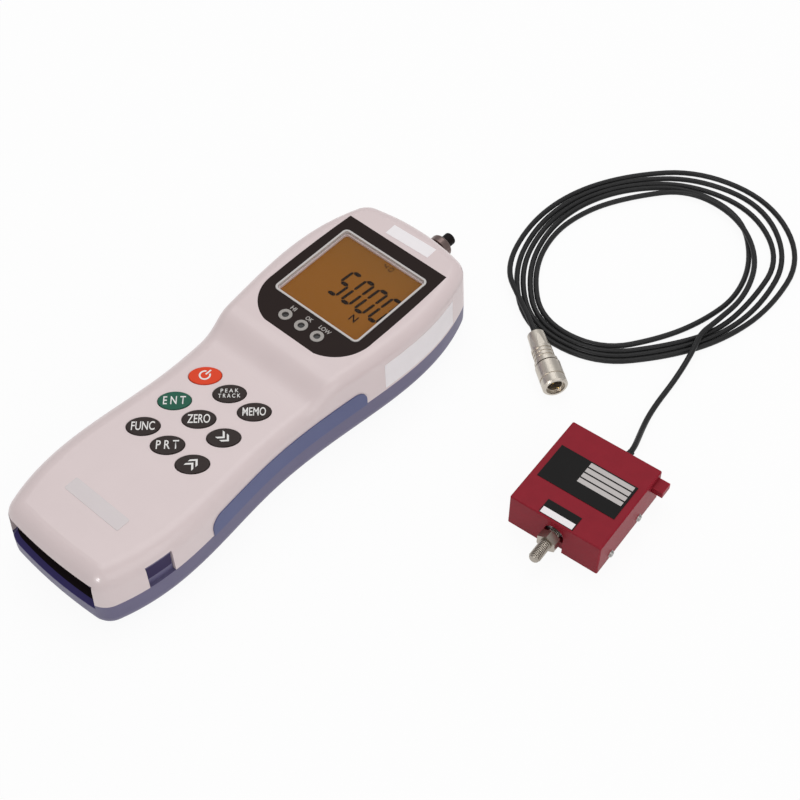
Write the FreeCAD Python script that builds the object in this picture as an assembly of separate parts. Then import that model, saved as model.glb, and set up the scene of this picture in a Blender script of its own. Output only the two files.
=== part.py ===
import FreeCAD, Part
import math
import os
from FreeCAD import Vector

os.makedirs("parts", exist_ok=True)

# Millimetres. The gauge lies on its back: X across, Y towards the display end, Z up,
# origin at the centre of the back. Its separate sensor lies beside it on the same surface.

# Housing, outside
body_length = 215.0
head_height = 38.0
step_height = 5.5
keypad_height = head_height - step_height
parting_height = 15.0
head_half_width = 37.0
flank_half_width = 33.4
waist_half_width = 31.5
tail_half_width = 34.7
head_end_half_width = 28.8
tail_end_half_width = 27.0
head_widest_y = 54.0
flank_y = 18.5
waist_y = -20.0
tail_widest_y = -71.0
head_end_drop = 4.0
tail_end_drop = 1.6
head_corner_radius = 10.0
tail_corner_radius = 9.0
side_draft = 0.8
top_fillet = 5.5
tail_top_fillet = 8.0
bottom_fillet = 7.0
step_start_y = 2.0
step_end_y = 22.0

# Housing, walls and joints between the shells
wall = 2.4
lip_height = 3.0
lip_thickness = 1.2
shell_fit = 0.25
post_radius = 4.3
boss_fit = 0.1

# Side grips
grip_front_y = -54.5
grip_back_y = 32.5
grip_height = 9.5
grip_top_height = parting_height + grip_height
grip_end_radius = 6.0
grip_sink = 1.0
grip_proud = 0.5

# Side notch and end slot
notch_start_y = -87.0
notch_end_y = -75.0
notch_height = 12.5
notch_top_height = parting_height + notch_height
slot_left_x = -26.0
slot_right_x = 23.0
slot_height = 12.0
slot_top_height = parting_height + slot_height
slot_reach = 9.6
ramp_depth = 5.4
ramp_drop = 3.6
ramp_thickness = 3.0
panel_inset = 5.65
panel_thickness = 1.4
panel_margin = 2.0
panel_ledge_reach = 1.6
panel_ledge_height = 1.2
panel_ledge_lift = 4.0
notch_wall_inset = 1.4
notch_wall_cap = 1.0

# Display
bezel_thickness = 1.4
bezel_top_y = 91.2
bezel_top_half_width = 27.2
bezel_half_width = 28.2
bezel_shoulder_y = 44.0
bezel_bottom_y = 24.3
bezel_bottom_half_width = 13.7
bezel_bend_x = 0.74
bezel_bend_y = 0.36
bezel_fit = 0.1
window_width = 45.0
window_start_y = 40.2
window_end_y = 83.5
window_radius = 1.5
frame_border = 0.9
frame_proud = 0.25
window_thickness = 1.0
window_ledge = 0.5
lcd_border = 1.5
lcd_thickness = 2.4
holder_wall = 1.2

# Indicator lamps
lamp_pitch = 8.9
lamp_y = 31.6
lamp_ring_diameter = 5.8
lamp_lens_diameter = 2.8
lamp_sink = 0.4

# Keys
key_length = 13.5
key_width = 9.0
key_angle = 42.5
key_pitch_x = 13.9
key_pitch_y = 17.0
key_first_y = -10.2
key_proud = 0.5
key_travel = 0.5
key_side_fit = 0.25
key_flange = 0.8
key_flange_thickness = 0.9
key_stop_gap = 0.1
key_edge_fillet = 0.35

# Electronics
board_drop = 5.5
board_top_height = keypad_height - board_drop
board_thickness = 1.6
board_margin = 1.8
mat_thickness = 0.8
mat_margin = 4.0
mat_end_margin = 1.0
dome_radius = 2.6
dome_crown_radius = 1.6
dome_height = 0.35
pusher_radius = 3.4
pusher_flare = 0.6
board_start_y = -66.0
board_end_y = 91.0
board_boss_radius = 2.9
board_boss_gap = 0.8
board_screw_radius = 1.0
board_screw_length = 6.0
board_screw_head_radius = 1.9
board_screw_head_height = 1.3
buzzer_radius = 6.0
buzzer_height = 4.5
buzzer_x = 12.0
buzzer_y = 64.75
buzzer_hole_radius = 1.2
chips = (
    (0.0, -20.0, 12.0, 12.0, 1.4),
    (-12.0, 4.0, 8.0, 6.0, 1.6),
    (10.0, 30.0, 10.0, 7.0, 1.8),
    (-10.0, 48.0, 7.0, 12.0, 1.6),
    (0.0, -60.0, 9.0, 5.0, 4.5),
    (0.0, 84.0, 14.0, 6.0, 5.5),
)
backlight_thickness = 1.6

# Case screws
screw_radius = 1.5
screw_head_radius = 2.75
screw_head_height = 2.2
screw_fit = 0.04
screw_length = 16.0
screw_clearance = 0.2
screw_drive = 2.5
screw_drive_depth = 1.1
counterbore_fit = 0.3
post_floor_height = 8.0
boss_radius = 3.7

# Mounting inserts in the back
insert_spacing_x = 40.0
insert_spacing_y = 60.0
insert_centre_y = 52.0
insert_radius = 3.0
insert_bore_radius = 1.65
insert_length = 8.0
insert_wall = 1.6
insert_cap = 1.0

# Battery bay and cover
cell_diameter = 10.3
cell_length = 44.5
cell_gap = 0.2
cell_count = 4
contact_spring_length = 3.0
contact_spring_radius = 3.2
contact_spring_wire = 0.6
contact_plate_thickness = 0.4
terminal_length = 1.0
terminal_radius = 2.6
cell_clearance = 0.4
holder_thickness = 1.2
bay_end_y = -34.5
floor_pad_height = 3.2
floor_pad_margin = 2.0
floor_pad_reach = 5.0
cover_thickness = 1.4
cover_inset = 0.2
cover_fit = 0.25
rail_width = 1.0
rail_thickness = 0.7
cover_lip = 1.2
thumb_groove_depth = 0.4
thumb_groove_count = 4
thumb_groove_pitch = 3.0
thumb_groove_width = 1.4
thumb_groove_length = 16.0
thumb_groove_start = 6.0

# Sensor socket in the head end
socket_radius = 5.0
socket_neck_radius = 4.4
socket_barrel_length = 3.0
socket_collar_radius = 5.5
socket_collar_start = 10.1
socket_collar_length = 3.9
socket_pin_radius = 2.9
socket_pin_length = 5.5
socket_pin_depth = 8.0
socket_root_radius = 2.7
socket_flange_radius = 6.6
socket_flange_thickness = 2.0
socket_nut_across_flats = 13.0
socket_nut_thickness = 2.6
socket_nut_gap = 0.1
socket_collar_fillet = 1.0
socket_pin_fillet = 0.6
socket_fit = 0.05

# Labels and badge
label_thickness = 0.15
side_label_start_y = 43.0
side_label_end_y = 88.0
side_label_low = parting_height + 1.5
side_label_high = head_height - 7.5
badge_length = 30.0
badge_width = 6.5
badge_corner_radius = 0.8
badge_y = -81.0
top_label_length = 23.0
top_label_width = 6.0
top_label_x = 2.4
top_label_y = 97.0
top_label_turn = 2.0

# Sensor block
sensor_x = 130.2
sensor_y = 36.0
sensor_turn = 5.0
block_width = 42.0
block_depth = 46.0
block_height = 17.5
block_edge = 0.7
cover_wall = 1.5
block_fit = 0.1
base_thickness = 4.0
opening_width = 9.0
opening_top = 14.0
beam_height = 10.4
beam_depth = 11.0
beam_length = 38.0
beam_lift = 0.8
beam_pad_gap = 0.2
beam_front_gap = 2.0
flexure_radius = 3.2
flexure_pitch = 2.0
flexure_centre = 8.0
stud_radius = 2.5
stud_shank_radius = 2.3
stud_reach = 14.5
stud_grip = 7.0
stud_height = 9.2
stud_fit = 0.02
stud_chamfer = 0.5
nut_across_flats = 8.0
nut_thickness = 4.0
nut_start = 1.6
ear_reach = 5.0
ear_depth = 7.5
ear_thickness = 3.2
ear_drop = 2.8
rear_block_depth = 10.0
side_screw_radius = 1.0
side_screw_head_radius = 1.7
side_screw_face_radius = 1.2
side_screw_head = 0.9
side_screw_length = 4.0
side_screw_height = 2.2
side_screw_places = (10.0, 31.0)
sensor_thread_radius = 1.65
sensor_thread_pitch = 30.0
sensor_thread_depth = 8.0
beam_screw_radius = 1.25
beam_screw_place = 15.3
beam_screw_head_radius = 2.25
beam_screw_head_height = 1.6
beam_screw_start = 0.5
beam_screw_drive_depth = 1.0
gauge_length = 5.0
gauge_width = 3.0
gauge_thickness = 0.12
bridge_length = 16.0
bridge_width = 10.0
bridge_thickness = 1.2
plate_length = 35.7
plate_width = 18.2
plate_centre_x = -0.15
plate_centre_y = 23.9
plate_thickness = 0.25
range_label_length = 15.5
range_label_width = 7.0
range_label_x = -0.25
range_label_y = 4.3

# Cable, coil and plug
cable_radius = 1.25
lead_exit_x = 3.5
lead_exit_height = 8.6
grommet_radius = 2.6
grommet_flange_radius = 3.6
grommet_flange = 1.2
grommet_lip = 0.9
coil_centre_x = 69.5
coil_centre_y = 183.0
coil_height = 7.0
coil_outer = (55.5, 64.0, 70.0, 68.0, 62.0, 56.5, 57.0, 60.8, 65.0, 65.0, 59.5, 53.5)
coil_inner = (38.5, 42.0, 48.0, 49.2, 45.2, 41.0, 41.8, 46.8, 53.4, 55.0, 47.6, 39.8)
lead_points = (
    (129.57, 83.33, 8.6),
    (128.95, 90.4, 8.6),
    (126.4, 97.6, 6.0),
    (123.0, 105.6, 3.0),
    (119.9, 113.8, 1.5),
    (117.5, 123.2, 1.3),
    (116.4, 133.5, 1.5),
    (115.4, 144.0, 3.0),
    (113.6, 154.6, 4.3),
)
tail_points = (
    (42.5, 125.6, 4.6),
    (52.25, 119.39, 5.6),
    (59.6, 114.2, 5.6),
)
run_share = 0.45
plug_turn = -35.2
plug_length = 30.0
plug_height = 5.6
plug_ring_radius = 5.6
plug_ring_length = 12.5
plug_ring_fit = 0.05
plug_body_radius = 4.6
plug_shoulder_radius = 5.2
plug_shoulder_length = 1.5
plug_ring_chamfer = 0.6
plug_clamp_radius = 4.2
plug_clamp_rear_radius = 3.8
plug_clamp_flats = 7.8
plug_clamp_length = 8.5
plug_nose_radius = 4.1
plug_nose_setback = 1.5
plug_bore_radius = 3.2
plug_bore_depth = 8.5
plug_insert_thickness = 2.0
plug_insert_fit = 0.04
plug_pin_radius = 0.35
plug_pin_circle = 1.3
plug_pin_length = 3.0
plug_pin_count = 4
plug_groove_start = 1.5
plug_groove_pitch = 2.0
plug_groove_width = 0.8
plug_groove_depth = 0.3
plug_groove_count = 3
plug_ring_groove_x = 7.75

half_length = body_length / 2
board_bottom_height = board_top_height - board_thickness
case_screw_places = ((22.5, 96.0), (25.8, 5.5), (28.0, -64.0))
board_screw_places = ((24.5, 28.0), (25.6, -56.0))


def box(x0, x1, y0, y1, z0, z1):
    return Part.makeBox(x1 - x0, y1 - y0, z1 - z0, Vector(x0, y0, z0))


def rod(radius, start, end):
    start = Vector(*start)
    along = Vector(*end) - start
    return Part.makeCylinder(radius, along.Length, start, along)


def tube(outer, inner, start, end):
    return rod(outer, start, end).cut(rod(inner, start, end))


def cone(radius_a, radius_b, start, end):
    start = Vector(*start)
    along = Vector(*end) - start
    return Part.makeCone(radius_a, radius_b, along.Length, start, along)


def hexagon(across_flats, start, length, axis):
    """A six-sided bar from start along axis."""
    corner = across_flats / math.sqrt(3)
    points = []
    for i in range(7):
        angle = math.radians(60 * i + 30)
        points.append(Vector(corner * math.cos(angle), corner * math.sin(angle), 0))
    bar = Part.Face(Part.makePolygon(points)).extrude(Vector(0, 0, length))
    bar.Placement = FreeCAD.Placement(Vector(*start), FreeCAD.Rotation(Vector(0, 0, 1), Vector(*axis)))
    return bar


def join(shapes):
    first, rest = shapes[0], shapes[1:]
    return first.fuse(rest) if rest else first


def both_sides(shape):
    """The shape and its mirror image across the housing's middle plane."""
    return [shape, shape.mirror(Vector(0, 0, 0), Vector(1, 0, 0))]


def rounded_plate(x0, x1, y0, y1, z0, z1, radius):
    plate = box(x0, x1, y0, y1, z0, z1)
    corners = [e for e in plate.Edges if abs(e.tangentAt(e.FirstParameter).z) > 0.99]
    return plate.makeFillet(radius, corners)


def oval(x, y, length, width, z0, z1):
    """An upright oval bar with its long axis turned as the keys' is."""
    outline = Part.Wire(Part.Ellipse(Vector(0, 0, 0), length / 2, width / 2).toShape())
    bar = Part.Face(outline).extrude(Vector(0, 0, z1 - z0))
    bar.rotate(Vector(0, 0, 0), Vector(0, 0, 1), key_angle)
    bar.translate(Vector(x, y, z0))
    return bar


def save(name, shape):
    shape.exportStep("parts/" + name + ".step")
    print(name, len(shape.Solids), round(shape.Volume, 1))


# Housing forms

def plan_wire(inset, z):
    """The housing's plan, moved in by inset, with rounded corners, at height z."""
    end = half_length - inset
    side = (
        (head_end_half_width - inset, end - head_end_drop),
        (head_half_width - inset, head_widest_y),
        (flank_half_width - inset, flank_y),
        (waist_half_width - inset, waist_y),
        (tail_half_width - inset, tail_widest_y),
        (tail_end_half_width - inset, -end + tail_end_drop),
    )
    right = Part.BSplineCurve()
    right.interpolate([Vector(x, y, z) for x, y in side])
    left = Part.BSplineCurve()
    left.interpolate([Vector(-x, y, z) for x, y in reversed(side)])
    top_x, top_y = side[0]
    low_x, low_y = side[-1]
    top = Part.Arc(Vector(-top_x, top_y, z), Vector(0, end, z), Vector(top_x, top_y, z))
    low = Part.Arc(Vector(low_x, low_y, z), Vector(0, -end, z), Vector(-low_x, low_y, z))
    outline = Part.Wire([curve.toShape() for curve in (top, right, low, left)])
    slab = Part.Face(outline).extrude(Vector(0, 0, 1))
    for radius, corner_y in ((head_corner_radius, top_y), (tail_corner_radius, low_y)):
        corners = [
            edge for edge in slab.Edges
            if upright(edge) and abs(edge.CenterOfMass.y - corner_y) < 0.1
        ]
        slab = slab.makeFillet(max(radius - inset, 1.0), corners)
    floors = [face for face in slab.Faces if face.BoundBox.ZMax < z + 0.01]
    return floors[0].OuterWire


def upright(edge):
    box_around = edge.BoundBox
    return box_around.XLength < 0.01 and box_around.YLength < 0.01


def plan_bar(inset, z0, z1):
    return Part.Face(plan_wire(inset, z0)).extrude(Vector(0, 0, z1 - z0))


def plan_ring(inset, thickness, z0, z1):
    return plan_bar(inset, z0, z1).cut(plan_bar(inset + thickness, z0, z1))


def face_profile(drop):
    """Side view of the front shell's face, lowered by drop, as a bar across the housing."""
    head = head_height - drop
    keypad = keypad_height - drop
    middle = (step_start_y + step_end_y) / 2
    reach = half_length + 5
    floor = parting_height - 2
    step = Part.BezierCurve()
    step.setPoles([
        Vector(0, step_end_y, head), Vector(0, middle, head),
        Vector(0, middle, keypad), Vector(0, step_start_y, keypad),
    ])
    rest = Part.makePolygon([
        Vector(0, step_start_y, keypad), Vector(0, -reach, keypad), Vector(0, -reach, floor),
        Vector(0, reach, floor), Vector(0, reach, head), Vector(0, step_end_y, head),
    ])
    bar = Part.Face(Part.Wire([step.toShape()] + rest.Edges)).extrude(Vector(100, 0, 0))
    bar.translate(Vector(-50, 0, 0))
    return bar


def rim_radius(point, drop):
    """Radius of the face's edge: small round the head, larger round the tail."""
    share = (point.y - step_start_y) / (step_end_y - step_start_y)
    share = max(0.0, min(1.0, share))
    return tail_top_fillet + (top_fillet - tail_top_fillet) * share - drop


def round_rim(form, drop):
    """Rounds the edge of the face, with a radius that changes over the step."""
    edges = []
    for number, edge in enumerate(form.Edges, 1):
        across = edge.BoundBox.YLength < 0.01 and edge.BoundBox.XLength > waist_half_width
        if edge.BoundBox.ZMin > keypad_height - drop - 0.5 and not across:
            start = edge.valueAt(edge.FirstParameter)
            end = edge.valueAt(edge.LastParameter)
            edges.append((number, rim_radius(start, drop), rim_radius(end, drop)))
    base = document.addObject("Part::Feature", "FormBase")
    base.Shape = form
    fillet = document.addObject("Part::Fillet", "FormFillet")
    fillet.Base = base
    fillet.Edges = edges
    document.recompute()
    return fillet.Shape.copy()


def front_form(inset, drop):
    """The front shell as a filled form, with its sides moved in by inset and its face lowered by drop."""
    top = head_height + 2
    draft = side_draft * (top - parting_height) / (head_height - parting_height)
    wires = [plan_wire(inset, parting_height), plan_wire(inset + draft, top)]
    sides = Part.makeLoft(wires, True, True)
    return round_rim(sides.common(face_profile(drop)), drop)


def rear_form(inset):
    """The rear shell as a filled form, with its sides and back moved in by inset."""
    bar = plan_bar(inset, inset, parting_height)
    rim = [edge for edge in bar.Edges if edge.BoundBox.ZMax < inset + 0.01]
    return bar.makeFillet(bottom_fillet - inset, rim)


def side_band(x0, x1, y0, y1, z1, radius):
    """A bar across the housing's side from the parting plane up to z1, its upper corners rounded."""
    bar = box(x0, x1, y0, y1, parting_height, z1)
    corners = [
        edge for edge in bar.Edges
        if abs(edge.CenterOfMass.z - z1) < 0.01 and edge.BoundBox.XLength > 1
    ]
    return bar.makeFillet(radius, corners)


def grip_band(margin):
    reach = head_half_width + 5
    return side_band(
        0, reach, grip_front_y - margin, grip_back_y + margin, grip_top_height + margin, grip_end_radius
    )


# Housing shells

def front_case():
    solid = front_form(0, 0)
    hollow = front_form(wall, wall)
    filling = front_form(wall / 2, wall / 2)
    shell = solid.cut(hollow)
    bosses = []
    for x, y in case_screw_places:
        bosses += both_sides(rod(boss_radius, (x, y, parting_height + boss_fit), (x, y, head_height)))
    for x, y in board_screw_places:
        bosses += both_sides(rod(board_boss_radius, (x, y, board_top_height), (x, y, head_height)))
    shell = shell.fuse([boss.common(filling) for boss in bosses])
    cuts = []
    for x, y in case_screw_places:
        end = post_floor_height + screw_length + 1
        cuts += both_sides(rod(screw_radius + screw_fit, (x, y, parting_height - 1), (x, y, end)))
    for x, y in board_screw_places:
        end = board_bottom_height + board_screw_length + 0.5
        cuts += both_sides(rod(board_screw_radius + screw_fit, (x, y, board_top_height - 1), (x, y, end)))
    cuts.append(bezel_bar(bezel_fit, head_height - bezel_thickness, head_height + 1))
    cuts.append(window_bar(-window_ledge, head_height - 2 * wall, head_height + 1))
    for x in lamp_places():
        low_point = (x, lamp_y, board_top_height)
        cuts.append(rod(lamp_lens_diameter / 2 + bezel_fit, low_point, (x, lamp_y, head_height)))
    for name, x, y in key_places():
        cuts.append(key_bar(x, y, key_side_fit, keypad_height - 2 * wall, keypad_height + 1))
    cuts.append(box(
        tail_half_width - 3 * wall, tail_half_width + 5, notch_start_y, notch_end_y,
        parting_height - 1, notch_top_height,
    ))
    cuts.append(box(
        slot_left_x, slot_right_x, -half_length - 1, -half_length + slot_reach,
        parting_height - 1, slot_top_height,
    ))
    cuts.append(socket_bar(socket_radius + socket_fit))
    shell = shell.cut(cuts)
    pockets = both_sides(solid.cut(front_form(grip_sink, 0)).common(grip_band(0)))
    return shell.cut(pockets)


def rear_case():
    solid = rear_form(0)
    shell = solid.cut(rear_form(wall))
    pad_edge = cover_half_width() + rail_width + floor_pad_margin
    pad = box(-pad_edge, pad_edge, -half_length, bay_end_y + floor_pad_reach, 0, floor_pad_height)
    extras = [pad.common(solid)]
    filling = rear_form(wall / 2)
    for x, y in case_screw_places:
        extras += both_sides(rod(post_radius, (x, y, 0), (x, y, parting_height)).common(filling))
    for x, y in insert_places():
        extras.append(rod(insert_radius + insert_wall, (x, y, wall / 2), (x, y, insert_length + insert_cap)))
    extras += lip_pieces()
    extras.append(ramp_bar(-ramp_thickness, 0).common(solid))
    shell = shell.fuse(extras)
    cuts = [bay_bar(0, -1, floor_pad_height + 1), cover_slot(), ramp_bar(0, 2 * ramp_drop)]
    for x, y in case_screw_places:
        hole = rod(screw_radius + screw_clearance, (x, y, -1), (x, y, parting_height + 1))
        head = rod(screw_head_radius + counterbore_fit, (x, y, -1), (x, y, post_floor_height))
        cuts += both_sides(hole) + both_sides(head)
    for x, y in insert_places():
        cuts.append(rod(insert_radius + screw_fit, (x, y, -1), (x, y, insert_length)))
    cuts.append(socket_bar(socket_radius + socket_fit))
    return shell.cut(cuts)


def ramp_bar(low, high):
    """A bar along the end slot's sloped sill, from low to high above the sill's face."""
    outer = -half_length - 1
    inner = -half_length + ramp_depth
    fall = ramp_drop / ramp_depth * (inner - outer)
    corners = [
        Vector(slot_left_x, outer, parting_height - fall + low),
        Vector(slot_left_x, inner, parting_height + low),
        Vector(slot_left_x, inner, parting_height + high),
        Vector(slot_left_x, outer, parting_height - fall + high),
    ]
    face = Part.Face(Part.makePolygon(corners + corners[:1]))
    return face.extrude(Vector(slot_right_x - slot_left_x, 0, 0))


def lip_pieces():
    """The rim that stands inside the front shell, and the wall seen through the notch."""
    root = plan_ring(wall - 0.5, lip_thickness + shell_fit + 0.5, parting_height - lip_height, parting_height)
    lip = plan_ring(wall + shell_fit, lip_thickness, parting_height - 0.5, parting_height + lip_height)
    gaps = [box(
        slot_left_x - panel_margin - shell_fit, slot_right_x + panel_margin + shell_fit,
        -half_length, -half_length + slot_reach, parting_height - lip_height, parting_height + 2 * lip_height,
    )]
    for x, y in case_screw_places:
        gap = rod(boss_radius + shell_fit, (x, y, parting_height), (x, y, parting_height + 2 * lip_height))
        gaps += both_sides(gap)
    flange_gap = socket_flange_radius + shell_fit
    flange_start = (0, half_length - 4 * wall, parting_height)
    gaps.append(rod(flange_gap, flange_start, (0, half_length, parting_height)))
    low = parting_height - lip_height
    band = box(0, tail_half_width, notch_start_y - 2, notch_end_y + 2, low, notch_top_height + notch_wall_cap)
    opening = box(
        0, tail_half_width, notch_start_y + shell_fit, notch_end_y - shell_fit,
        low, notch_top_height - shell_fit,
    )
    back_wall = plan_ring(wall + shell_fit, lip_thickness, low, notch_top_height + notch_wall_cap).common(band)
    back_wall = back_wall.common(front_form(wall + shell_fit, wall + shell_fit))
    depth = wall + shell_fit + lip_thickness / 2 - notch_wall_inset
    front_wall = plan_ring(notch_wall_inset, depth, low, notch_top_height).common(opening)
    return [root.cut(gaps), lip.cut(gaps), back_wall, front_wall]


def side_grip():
    """The right grip, seated in its pocket and standing a little proud."""
    skin = front_form(-grip_proud, 0).cut(front_form(grip_sink - screw_fit, 0))
    return skin.common(grip_band(-screw_fit))


def end_panel():
    """The dark panel behind the end slot, with its ledge."""
    low = parting_height - panel_margin
    high = slot_top_height + panel_margin
    back = -half_length + slot_reach - shell_fit
    span = box(slot_left_x - panel_margin, slot_right_x + panel_margin, -half_length, back, low, high)
    panel = plan_ring(panel_inset, panel_thickness, low, high).common(span)
    middle = parting_height + panel_ledge_lift
    ledge_span = box(
        slot_left_x + shell_fit, slot_right_x - shell_fit, -half_length, back,
        middle - panel_ledge_height / 2, middle + panel_ledge_height / 2,
    )
    ledge_inset = panel_inset - panel_ledge_reach
    ledge = plan_ring(ledge_inset, panel_ledge_reach + panel_thickness / 2, low, high).common(ledge_span)
    return panel.fuse(ledge)


# Display

def bezel_bar(margin, z0, z1):
    """The display bezel's outline, grown by margin, from z0 to z1."""
    def outline_side(sign):
        top = Vector(sign * (bezel_top_half_width + margin), bezel_top_y + margin, z0)
        middle = Vector(sign * (bezel_half_width + margin), (bezel_top_y + bezel_shoulder_y) / 2, z0)
        shoulder = Vector(sign * (bezel_half_width + margin), bezel_shoulder_y, z0)
        low = Vector(sign * (bezel_bottom_half_width + margin / 2), bezel_bottom_y - margin, z0)
        reach = (shoulder.x - low.x) * bezel_bend_x + low.x
        bend = Vector(reach, low.y + (shoulder.y - low.y) * bezel_bend_y, z0)
        return top, middle, shoulder, bend, low

    right = outline_side(1)
    left = outline_side(-1)
    edges = [
        Part.makeLine(left[0], right[0]),
        Part.Arc(*right[:3]).toShape(),
        Part.Arc(*right[2:]).toShape(),
        Part.makeLine(right[4], left[4]),
        Part.Arc(*reversed(left[2:])).toShape(),
        Part.Arc(*reversed(left[:3])).toShape(),
    ]
    return Part.Face(Part.Wire(edges)).extrude(Vector(0, 0, z1 - z0))


def window_bar(margin, z0, z1):
    half = window_width / 2 + margin
    return rounded_plate(
        -half, half, window_start_y - margin, window_end_y + margin, z0, z1, window_radius + max(margin, 0)
    )


def lamp_places():
    return (-lamp_pitch, 0.0, lamp_pitch)


def display_bezel():
    low = head_height - bezel_thickness
    plate = bezel_bar(0, low, head_height)
    cuts = [window_bar(frame_border + bezel_fit, low - 1, head_height + 1)]
    for x in lamp_places():
        ring_radius = lamp_ring_diameter / 2 + bezel_fit
        cuts.append(rod(ring_radius, (x, lamp_y, low - 1), (x, lamp_y, head_height + 1)))
    return plate.cut(cuts)


def window_frame():
    low = head_height - bezel_thickness
    high = head_height + frame_proud
    return window_bar(frame_border, low, high).cut(window_bar(0, low - 1, high + 1))


def display_window():
    low = head_height - bezel_thickness
    return window_bar(-bezel_fit, low, low + window_thickness)


def lcd_panel():
    top = head_height - wall
    return window_bar(lcd_border, top - lcd_thickness, top)


def backlight():
    top = head_height - wall - lcd_thickness
    return window_bar(lcd_border, top - backlight_thickness, top)


def lcd_holder():
    """The frame that stands on the board and carries the display glass and its light."""
    top = head_height - wall
    ledge = top - lcd_thickness - backlight_thickness
    frame = window_bar(lcd_border + bezel_fit + holder_wall, board_top_height, top)
    pocket = window_bar(lcd_border + bezel_fit, ledge, top + 1)
    well = window_bar(-holder_wall, board_top_height - 1, top + 1)
    return frame.cut([pocket, well])


def indicator_rings():
    low = head_height - bezel_thickness
    rings = []
    for x in lamp_places():
        ring = tube(
            lamp_ring_diameter / 2, lamp_lens_diameter / 2 + bezel_fit,
            (x, lamp_y, low), (x, lamp_y, head_height + frame_proud),
        )
        rings.append(ring)
    return Part.makeCompound(rings)


def indicator_lenses():
    """Light pipes from the lamps on the board up to the bezel."""
    top = head_height - lamp_sink
    radius = lamp_lens_diameter / 2
    pipes = [rod(radius, (x, lamp_y, board_top_height), (x, lamp_y, top)) for x in lamp_places()]
    return Part.makeCompound(pipes)


# Keys

def key_places():
    names = (
        ("key_power", "key_peak_track", "key_memo"),
        ("key_enter", "key_zero", "key_shift"),
        ("key_func", "key_print", "key_up"),
    )
    places = []
    for row, row_names in enumerate(names):
        for column, name in enumerate(row_names):
            x = (column - 1) * key_pitch_x
            y = key_first_y - row * key_pitch_y
            places.append((name, x, y))
    return places


def key_bar(x, y, margin, z0, z1):
    return oval(x, y, key_length + 2 * margin, key_width + 2 * margin, z0, z1)


def key_cap(x, y):
    stop = keypad_height - wall - key_stop_gap
    top = keypad_height + key_proud
    cap = key_bar(x, y, 0, stop - key_flange_thickness / 2, top)
    rim = [edge for edge in cap.Edges if edge.BoundBox.ZMin > top - 0.01]
    cap = cap.makeFillet(key_edge_fillet, rim)
    flange = key_bar(x, y, key_flange, stop - key_flange_thickness, stop)
    return cap.fuse(flange)


def keypad_mat():
    """The rubber mat with a pusher under each key."""
    top = board_top_height + mat_thickness
    first = key_first_y + key_length / 2 + mat_end_margin
    last = key_first_y - 2 * key_pitch_y - key_length / 2 - mat_end_margin
    sheet = plan_bar(wall + mat_margin, board_top_height, top)
    sheet = sheet.common(box(-waist_half_width, waist_half_width, last, first, board_top_height, top))
    pusher_top = keypad_height - wall - key_flange_thickness - key_travel - 2 * key_stop_gap
    pushers = []
    hollows = []
    for name, x, y in key_places():
        foot = (x, y, top - mat_thickness / 2)
        pushers.append(cone(pusher_radius + pusher_flare, pusher_radius, foot, (x, y, pusher_top)))
        hollow_top = board_top_height + dome_height + key_stop_gap
        hollows.append(rod(dome_radius + key_side_fit, (x, y, board_top_height - 1), (x, y, hollow_top)))
    return sheet.fuse(pushers).cut(hollows)


def dome_switches():
    domes = []
    for name, x, y in key_places():
        domes.append(cone(
            dome_radius, dome_crown_radius, (x, y, board_top_height), (x, y, board_top_height + dome_height)
        ))
    return Part.makeCompound(domes)


# Electronics

def main_board():
    board = plan_bar(wall + board_margin, board_bottom_height, board_top_height)
    board = board.common(box(
        -head_half_width, head_half_width, board_start_y, board_end_y, board_bottom_height, board_top_height
    ))
    low = board_bottom_height - 1
    high = board_top_height + 1
    cuts = []
    for x, y in case_screw_places:
        cuts += both_sides(rod(boss_radius + board_boss_gap, (x, y, low), (x, y, high)))
    for x, y in board_screw_places:
        cuts += both_sides(rod(board_screw_radius + screw_clearance, (x, y, low), (x, y, high)))
    return board.cut(cuts)


def board_screws():
    screws = []
    for x, y in board_screw_places:
        head_low = board_bottom_height - board_screw_head_height
        shank = rod(board_screw_radius, (x, y, head_low), (x, y, board_bottom_height + board_screw_length))
        head = rod(board_screw_head_radius, (x, y, head_low), (x, y, board_bottom_height))
        screws += both_sides(shank.fuse(head))
    return Part.makeCompound(screws)


def board_components():
    """Processor, converter and memory under the board, and the cell and sensor connectors."""
    under = board_bottom_height
    pieces = []
    for x, y, length, width, height in chips:
        pieces.append(box(x - length / 2, x + length / 2, y - width / 2, y + width / 2, under - height, under))
    return Part.makeCompound(pieces)


def buzzer():
    low = board_bottom_height - buzzer_height
    can = rod(buzzer_radius, (buzzer_x, buzzer_y, low), (buzzer_x, buzzer_y, board_bottom_height))
    return can.cut(rod(buzzer_hole_radius, (buzzer_x, buzzer_y, low - 1), (buzzer_x, buzzer_y, low + 1)))


# Battery bay

def bay_half_width():
    return (cell_count * (cell_diameter + cell_gap) + cell_gap) / 2


def bay_start_y():
    return bay_end_y - cell_length - contact_spring_length - 2 * contact_plate_thickness - cell_gap


def cover_half_width():
    return bay_half_width() + cover_lip


def bay_bar(margin, z0, z1):
    half = bay_half_width() + margin
    return box(-half, half, bay_start_y() - margin, bay_end_y + margin, z0, z1)


def cell_floor():
    return cover_inset + cover_thickness + cell_clearance


def battery_holder():
    """The tray over the cells, open towards the cover."""
    roof = cell_floor() + cell_diameter + cell_gap
    shell = bay_bar(holder_thickness, floor_pad_height, roof + holder_thickness)
    return shell.cut(bay_bar(0, floor_pad_height - 1, roof))


def cell_places():
    pitch = cell_diameter + cell_gap
    first = -(cell_count - 1) / 2 * pitch
    return [(first + i * pitch, i % 2) for i in range(cell_count)]


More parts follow.
